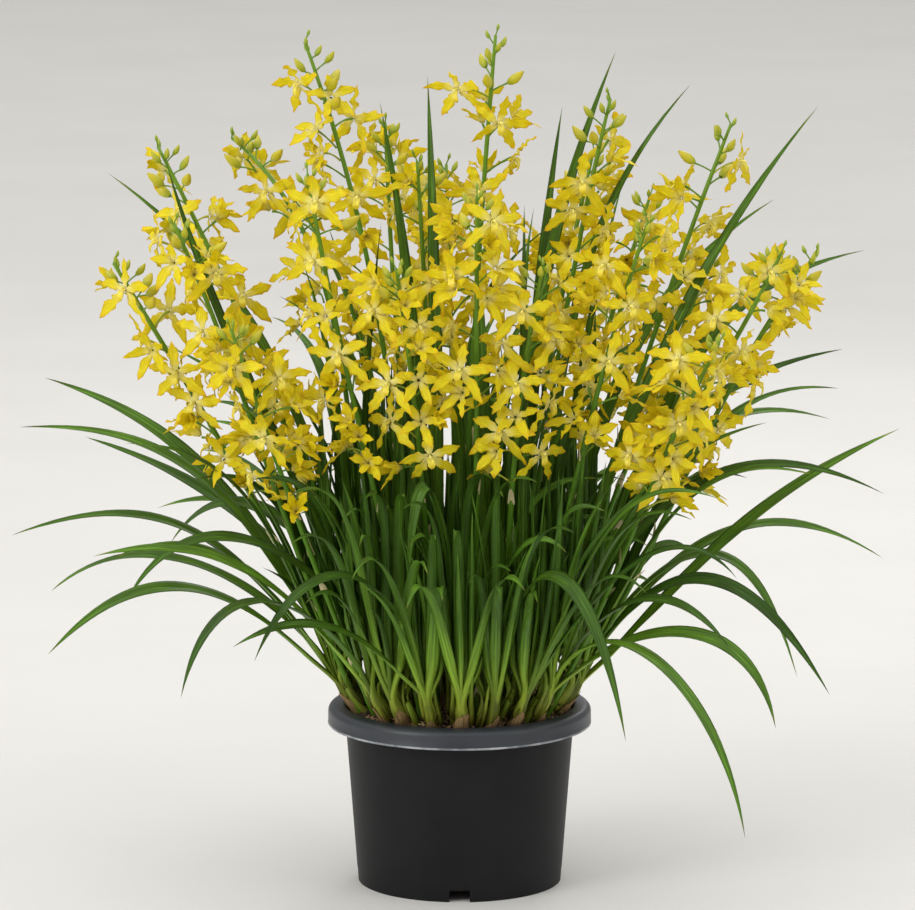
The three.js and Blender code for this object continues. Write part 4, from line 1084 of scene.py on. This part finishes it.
def add_shell(skin, face, back, side, reach, share, tone, slot):
    """Closes the face and the back of a thin blade into one skin."""
    shell = np.concatenate([face, back[:, ::-1]], 1)
    side = np.concatenate([side, side[:, ::-1]], 1)
    add_grid(skin, shell, paired(side, reach), paired(share, side * 0 + tone), slot, True,
             root=shell[0].mean(0), tip=shell[-1].mean(0))


def add_petal(skin, centre, way, facing, length, half, bend, tone, rows=TEPAL_ROWS):
    """One tepal: a narrow pointed blade with frilled, ragged edges, that twists and bends towards its tip."""
    t, a = np.linspace(0, 1, rows)[:, None], np.linspace(-1, 1, TEPAL_COLUMNS)
    girth = half * np.interp(t, *TEPAL_OUTLINE)
    phase = grow.uniform(0, 6.28, 4)
    nicks = grow.uniform(-1, 1, (rows, TEPAL_COLUMNS))
    side = a * girth * (1 + (0.14 * np.sin(t * 22 + phase[0] + a * 2.5) + 0.18 * nicks) * a ** 2)
    twist = np.radians(grow.uniform(-52, 52)) * t ** 1.2
    cup = 0.035 * side ** 2 * grow.uniform(-0.5, 1.4)
    frill = grow.uniform(1.2, 3.0) * np.sin(t * grow.uniform(10, 18) + phase[1] + a * 0.9) * np.abs(a) ** 1.4
    sway = grow.uniform(-2.4, 2.4) * t ** 2
    forward = 0.8 + bend * t ** 2 + cup + frill * np.sin(np.pi * t) ** 0.6 + side * np.sin(twist)
    reach = 2.2 + (length - 2.2) * t
    droop = grow.uniform(1.5, 9.0) * (length / TEPAL_LENGTH) * t ** 2.2
    face = placed(centre, (way, reach), (cross(way, facing), side * np.cos(twist) + sway), (facing, forward),
                  ((0, 0, -1), droop))
    back = placed(face, (facing, -PETAL_THICKNESS * (1 - 0.4 * np.abs(a))))
    add_shell(skin, face, back, side, reach, t, tone, PETAL_SLOT)


def add_lip(skin, centre, upright, beside, facing, tone):
    """The lip hangs below the throat: cupped sides, then a short tongue that curls down."""
    t, a = np.linspace(0, 1, 8)[:, None], np.linspace(-1, 1, 6)
    side = a * np.interp(t, [0, 0.25, 0.5, 0.75, 1], [2.0, 3.6, 2.8, 4.0, 1.0])
    cup = np.interp(t, [0, 0.35, 0.6, 1], [2.0, 2.9, 0.7, -1.0]) * a ** 2
    down = 1.2 + 7.5 * t ** 1.7 - cup
    out = 1.6 + 7.5 * np.sin(t * math.pi * 0.62) + 0.5 * np.sin(a * 9 + t * 6 + tone * 6) * t
    face = placed(centre, (facing, out), (upright, -down), (beside, side))
    add_shell(skin, face, placed(face, (facing, -0.5), (upright, -0.4)), side * 0, t * 0, t, tone, LIP_SLOT)


def add_bloom(skin, head):
    """An open flower on its stalk: five tepals, the lip, the column over it and a small bract below."""
    across, upright = bloom_frame(head)
    centre, facing = head["centre"], head["facing"]
    tone = grow.uniform(0, 1)
    bow = (0, 0, grow.uniform(0.5, 3))
    neck = add(centre, facing, -THROAT_HALF_DEPTH + 1)
    add_stalk(skin, head["foot"], neck, bow, STALK_RADIUS, 1.5, grow.uniform(0.6, 1.0))
    for angle, share, girth, bend in TEPALS:
        way = towards(across, upright, angle + grow.uniform(-9, 9))
        length = head["size"] * share * grow.uniform(0.95, 1.03)
        add_petal(skin, centre, way, facing, length, TEPAL_HALF_WIDTH * girth, bend + grow.uniform(-10, 8),
                  min(1, max(0, tone + grow.uniform(-0.2, 0.2))))
    add_lip(skin, centre, upright, across, facing, tone)
    rise = curve_between(add(centre, facing, 0.5), add(add(centre, facing, 7.0), upright, 1.2),
                         np.multiply(upright, 1.6), 7)
    column = tube(rise, [1.4, 1.3, 1.1, 1.1, 1.3, 1.5, 0.9], 8)
    add_grid(skin, column, (0, 0), (0.1, 0), LIP_SLOT, True, tip=add(rise[-1], facing, 0.8))
    way = unit(add(centre, head["foot"], -1))
    add_bract(skin, head["foot"], unit(add(way, (0, 0, 1), 0.6)), (0, 0, -1), grow.uniform(4, 7), 2.6)


def add_bud(skin, base, way, size, green):
    """A closed bud, a little bowed, with three shallow grooves and a pointed tip."""
    side = unit(cross(way, (0.1, 0.2, 1)))
    t, angles = np.linspace(0.02, 0.97, 8)[:, None], np.linspace(0, 2 * math.pi, 11, endpoint=False)
    radius = BUD_GIRTH * size * np.interp(t, [0, 0.12, 0.42, 0.75, 1], [0.3, 0.72, 1.0, 0.66, 0.1])
    lobes = radius * (1 + 0.07 * np.cos(3 * angles))
    bow = grow.uniform(0.2, 0.9) * 4 * t * (1 - t)
    rows = placed(base, (way, t * size), (side, lobes * np.cos(angles)),
                  (cross(way, side), bow + lobes * np.sin(angles)))
    add_grid(skin, rows, (0, 0), paired(t, angles * 0 + green), BUD_SLOT, True, tip=add(base, way, size))


def add_large_bud(skin, head):
    green = min(1, max(0, 1.25 - head["size"] / BUD_LENGTH))
    add_stalk(skin, head["foot"], head["base"], (0, 0, 0.8), 0.7, 0.9, 0.8)
    add_bud(skin, head["base"], head["way"], head["size"] * 1.1, green)


def add_young_tip(skin, spike):
    """The unopened tip: ever smaller buds crowd the last stretch of the stem."""
    for i, size in enumerate(TIP_BUDS):
        foot = spike["path"].at(0.9 + 0.1 * (i / (len(TIP_BUDS) - 1)) ** 0.8)
        turn = spike["first_turn"] + 40 + i * GOLDEN_ANGLE
        way = heading(turn, 30 + 7 * i)
        base = add(foot, heading(turn, 20 + 7 * i), size * 0.9)
        head = {"foot": foot, "base": base, "way": way, "size": size}
        if size > 10 and not is_clear(spike["name"], bud_balls(head)):
            continue
        add_stalk(skin, foot, base, (0, 0, size * 0.03), 0.5 + size * 0.015, 0.6 + size * 0.02, 0.75)
        add_bud(skin, base, way, size, min(1, 1.35 - size / 20))


def opening_balls(head):
    for along, radius in ((7, 3.5), (16, 5), (24, 6)):
        yield (*add(head["centre"], head["facing"], along), radius, 0)
    yield from stalk_balls(head)


def add_opening(skin, head):
    """A flower on the point of opening: its five tepals have only begun to spread from the bud."""
    centre, facing = head["centre"], head["facing"]
    across = unit(cross(facing, (0, 0, 1)))
    tone = grow.uniform(0, 0.8)
    bow = (0, 0, grow.uniform(0.5, 2.5))
    add_stalk(skin, head["foot"], centre, bow, STALK_RADIUS, 1.4, grow.uniform(0.6, 1.0))
    for turn in range(0, 360, 72):
        radial = towards(across, cross(across, facing), turn + head["roll"])
        spread = head["spread"] + grow.uniform(-9, 9)
        way, inward = (unit(towards(facing, radial, angle)) for angle in (spread, spread - 90))
        add_petal(skin, centre, way, inward, head["size"] * grow.uniform(0.92, 1.04), TEPAL_HALF_WIDTH * 0.86,
                  grow.uniform(-5, 1), min(1, tone + grow.uniform(0, 0.2)), OPENING_ROWS)


# Flowers on the point of opening stand among the open ones wherever there is room
HEADS_WANTED, OPENING_TRIES, OPENING_ROWS = 19, 320, 7
for spike in spikes:
    path, opened = spike["path"], max(0.36, flowering(spike) + 0.05)
    for attempt in range(OPENING_TRIES):
        if len(spike["heads"]) >= HEADS_WANTED:
            break
        t = spike["top"] - grow.uniform(-0.01, opened)
        turn = towards_flat(path, spike["outward"] + grow.uniform(-150, 150))
        foot = stalk_foot(path, t, turn)
        stalk = heading(turn, grow.uniform(8, 48))
        centre = add(foot, stalk, PEDICEL_LENGTH * grow.uniform(0.5, 1.05))
        head = {"kind": "opening", "foot": foot, "centre": centre, "roll": grow.uniform(0, 72),
                "facing": unit(add(stalk, (0, -0.25, grow.uniform(-0.35, 0.5)))),
                "size": TEPAL_LENGTH * grow.uniform(0.74, 0.98), "spread": grow.uniform(16, 64)}
        if settle(spike["name"], opening_balls, head):
            spike["heads"].append(head)

HEAD_KINDS = {"bloom": add_bloom, "bud": add_large_bud, "opening": add_opening}
for spike in spikes:
    spike_skin = new_skin()
    add_stem(spike_skin, spike)
    for head in spike["heads"]:
        HEAD_KINDS[head["kind"]](spike_skin, head)
    add_young_tip(spike_skin, spike)
    make_piece(spike["name"] + "_bloom", spike_skin, SPIKE_MATERIALS, "flowers", spike["name"])

# Potting mix: damp chopped bark with pale fresh pieces on top, packed round the bulbs and stems.
# It fills the pot to 14 mm under the rim, rough and crumbly.
CHIP_THICKNESS, FINE_CHIPS, CRUMBS, FIBRES = 4.0, 2000, 700, 700
HEAP, FIT_GAP, MIX_SIDES = 10.5, 0.3, 96
CHIP_REACH, CRUMB_REACH, FIBRE_REACH = 107, (84, 105), 104
# Real bark is grained finer than 1 mm; it is drawn as coarse as it shows
BARK_GRAIN = (1.111, 1.111, 3.333)
BARK_WET, BARK_DARK, BARK_BROWN = "#1B1410", "#2C2019", "#5A4030"
BARK_TAN_DULL, BARK_TAN, BARK_PINK_DULL, BARK_PINK = "#7A5C3F", "#A8855F", "#8C6650", "#B9927A"
STRAW_DULL, STRAW = "#A08A54", "#D8C690"

# Bark, chopped and weathered: matt and fibrous, from wet black-brown to fresh pinkish tan, and dry straw
barks = [tinted(name, BARK_GRAIN, 6.0, [(0.3, dark), (0.7, pale)], {"Roughness": 0.85},
                {"Strength": 0.8, "Distance": 0.001}) for name, dark, pale in (
    ("damp_dark_bark", BARK_WET, BARK_DARK), ("brown_bark", BARK_DARK, BARK_BROWN),
    ("dry_tan_bark", BARK_TAN_DULL, BARK_TAN), ("fresh_pink_bark", BARK_PINK_DULL, BARK_PINK),
    ("straw_fibre", STRAW_DULL, STRAW))]


def heaped(radius):
    """How far the loose top of the mix stands above its level, lowest along the wall."""
    return HEAP * np.interp(radius, [0, 60, 98, 107, 109], [0.6, 0.85, 1.0, 0.5, 0.1])


def round_the_axis(radius, angle):
    return radius * math.cos(angle), radius * math.sin(angle)


def add_chip(skin, spot, lift, size, turns, slot):
    """One chip of bark, a block with knocked-in corners, that lies on the heap or a little over it."""
    corners = np.array([(x, y, z) for z in (-1, 1) for x, y in ((-1, -1), (1, -1), (1, 1), (-1, 1))], float)
    corners *= grow.uniform(0.62, 1.0, (8, 3)) * np.asarray(size) / 2
    (cx, sx), (cy, sy), (cz, sz) = ((math.cos(a), math.sin(a)) for a in turns)
    about_x, about_y = [[1, 0, 0], [0, cx, -sx], [0, sx, cx]], [[cy, 0, sy], [0, 1, 0], [-sy, 0, cy]]
    spin = np.array([[cz, -sz, 0], [sz, cz, 0], [0, 0, 1]]) @ about_y @ about_x
    centre = (spot[0], spot[1], MIX_TOP + heaped(math.hypot(spot[0], spot[1])) + lift)
    start = add_points(skin, corners @ spin.T + centre, (0, 0), (0, 0))
    quads = [(0, 3, 2, 1), (4, 5, 6, 7), (0, 1, 5, 4), (1, 2, 6, 5), (2, 3, 7, 6), (3, 0, 4, 7)]
    add_faces(skin, np.array(quads) + start, slot)


mix_skin = new_skin()
bottom = FOOT_HEIGHT + WALL + FIT_GAP
inside = [(wall_radius(z) - WALL - FIT_GAP * 1.5, z) for z in (bottom, 60, 110, MIX_TOP - 1)]
top_rings = [(radius, MIX_TOP - 0.4) for radius in np.linspace(wall_radius(MIX_TOP) - WALL - 1, 6, 26)]
rows = turned([(70, bottom)] + inside + top_rings, MIX_SIDES)
top = rows[6:]
crumble = grow.uniform(-1.2, 1.2, top.shape[:2])
top[..., 2] += (crumble + np.roll(crumble, 1, 1) + np.roll(crumble, 1, 0)) / 1.6
top[..., 2] += heaped(np.hypot(top[..., 0], top[..., 1]))
add_grid(mix_skin, rows, around=True, root=(0, 0, bottom), tip=(0, 0, MIX_TOP + HEAP * 0.6))

for i, (spot, size, turns) in enumerate(chips):
    add_chip(mix_skin, spot, 0.6, (size * 1.5, size * 0.8, CHIP_THICKNESS), turns, 2 + i % 2)
for i in range(FINE_CHIPS):
    spot = round_the_axis(CHIP_REACH * math.sqrt(grow.random()), grow.uniform(0, 2 * math.pi))
    if any(math.dist(spot, other[:2]) < taken * 0.8 for other, taken in claimed):
        continue
    big = grow.uniform(2.5, 9.0) if i % 3 else grow.uniform(6.0, 13.0)
    slot = int(grow.choice([0, 0, 1, 1, 2, 3], 1)[0])
    add_chip(mix_skin, spot, grow.uniform(-0.6, 1.8), (big, big * grow.uniform(0.4, 0.7), big * 0.32),
             (*grow.uniform(-0.5, 0.5, 2), grow.uniform(0, 6.28)), slot)

# Paler crumbs and scraps of dry sheath have gathered along the wall
for i in range(CRUMBS):
    spot = round_the_axis(grow.uniform(*CRUMB_REACH), grow.uniform(0, 2 * math.pi))
    big = grow.uniform(2.0, 6.5)
    add_chip(mix_skin, spot, grow.uniform(0, 2.6), (big, big * grow.uniform(0.35, 0.7), 1.2),
             (*grow.uniform(-0.7, 0.7, 2), grow.uniform(0, 6.28)), 1 + i % 4)

# Torn fibres of old sheaths and dry roots lie over the mix round the feet of the shoots
for i in range(FIBRES):
    growth = shoots[int(grow.integers(len(shoots)))]
    place = add(growth["foot"], heading(grow.uniform(0, 360), 0), grow.uniform(6, 17))
    if math.hypot(place[0], place[1]) > FIBRE_REACH:
        continue
    length, turn = grow.uniform(5, 17), grow.uniform(0, 2 * math.pi)
    t = np.linspace(-0.5, 0.5, 6)
    line = [place[0] + np.cos(turn) * t * length + grow.uniform(-0.8, 0.8, 6),
            place[1] + np.sin(turn) * t * length + grow.uniform(-0.8, 0.8, 6),
            MIX_TOP + HEAP + 0.6 + grow.uniform(0, 3) * (1 - (2 * t) ** 2) + grow.uniform(0, 7) * (t + 0.5)]
    add_grid(mix_skin, tube(np.transpose(line), 0.22 + 0.3 * grow.random(), 3), around=True, slot=2 + i % 3)
mix = make_piece("bark_mix", mix_skin, barks, "potting_mix", "potting_mix")
mix.data.set_sharp_from_angle(angle=math.radians(30))

# Studio: a plain pale floor that runs back out of sight, soft light from overhead and both sides.
# The camera stands where the photograph was taken from, a little above the flowers' height.
FLOOR_SIZE, MOTTLE_SIZE = 60.0, 333.3
FLOOR_GREY, FLOOR_PALE, AIR = "#DAD8D4", "#DEDCD8", "#ECEBE8"
CAMERA_PLACE, CAMERA_AIM = (-0.002, -6.0, 1.5), (-0.002, 0.0, 0.417)
LENS, SENSOR, AIR_LIGHT = 250.0, 36.0, 0.42

# Painted studio floor: matt, pale warm grey, with a faint mottling
floor_paint = tinted("matt_floor_paint", [MOTTLE_SIZE] * 3, 5.0, [(0.3, FLOOR_GREY), (0.7, FLOOR_PALE)],
                     {"Roughness": 0.75})
floor_mesh = bpy.data.meshes.new("studio_floor")
corners = [(x * FLOOR_SIZE / 2, y * FLOOR_SIZE / 2, 0) for x, y in ((-1, -1), (1, -1), (1, 1), (-1, 1))]
floor_mesh.from_pydata(corners, [], [(0, 1, 2, 3)])
floor_mesh.materials.append(floor_paint)
floor = bpy.data.objects.new("studio_floor", floor_mesh)
bpy.context.scene.collection.objects.link(floor)

world = bpy.data.worlds.new("soft_studio")
world.use_nodes = True
air = world.node_tree.nodes["Background"].inputs
air["Color"].default_value, air["Strength"].default_value = linear(AIR), AIR_LIGHT
bpy.context.scene.world = world
bpy.context.scene.view_settings.view_transform = "Standard"


def set_up(name, data, spot, target):
    """Places a lamp or the camera and aims it."""
    thing = bpy.data.objects.new(name, data)
    bpy.context.scene.collection.objects.link(thing)
    thing.location = spot
    x, y, z = np.subtract(target, thing.location)
    thing.rotation_euler = (math.atan2(math.hypot(x, y), -z), 0, math.atan2(y, x) - math.pi / 2)
    return thing


# Soft boxes: name, place, aimed at, size across, power in watts
SOFT_BOXES = [
    ("ceiling", (0, 0.5, 7.0), (0, 0.51, 0), 20.0, 980),
    ("left_box", (-2.6, -2.2, 1.8), (0, 0, 0.5), 1.8, 46),
    ("right_box", (2.8, -1.6, 1.4), (0, 0, 0.45), 1.6, 13),
    ("back_box", (0.8, 2.6, 2.0), (0, 0, 0.6), 1.4, 14),
]
for name, spot, target, across, power in SOFT_BOXES:
    lamp = bpy.data.lights.new(name, "AREA")
    lamp.shape, lamp.size, lamp.energy = "DISK", across, power
    set_up(name, lamp, spot, target)

camera = set_up("camera", bpy.data.cameras.new("camera"), CAMERA_PLACE, CAMERA_AIM)
camera.data.lens, camera.data.sensor_width = LENS, SENSOR
camera.data.clip_start, camera.data.clip_end = 0.1, 100
bpy.context.scene.camera = camera

bpy.context.view_layer.update()
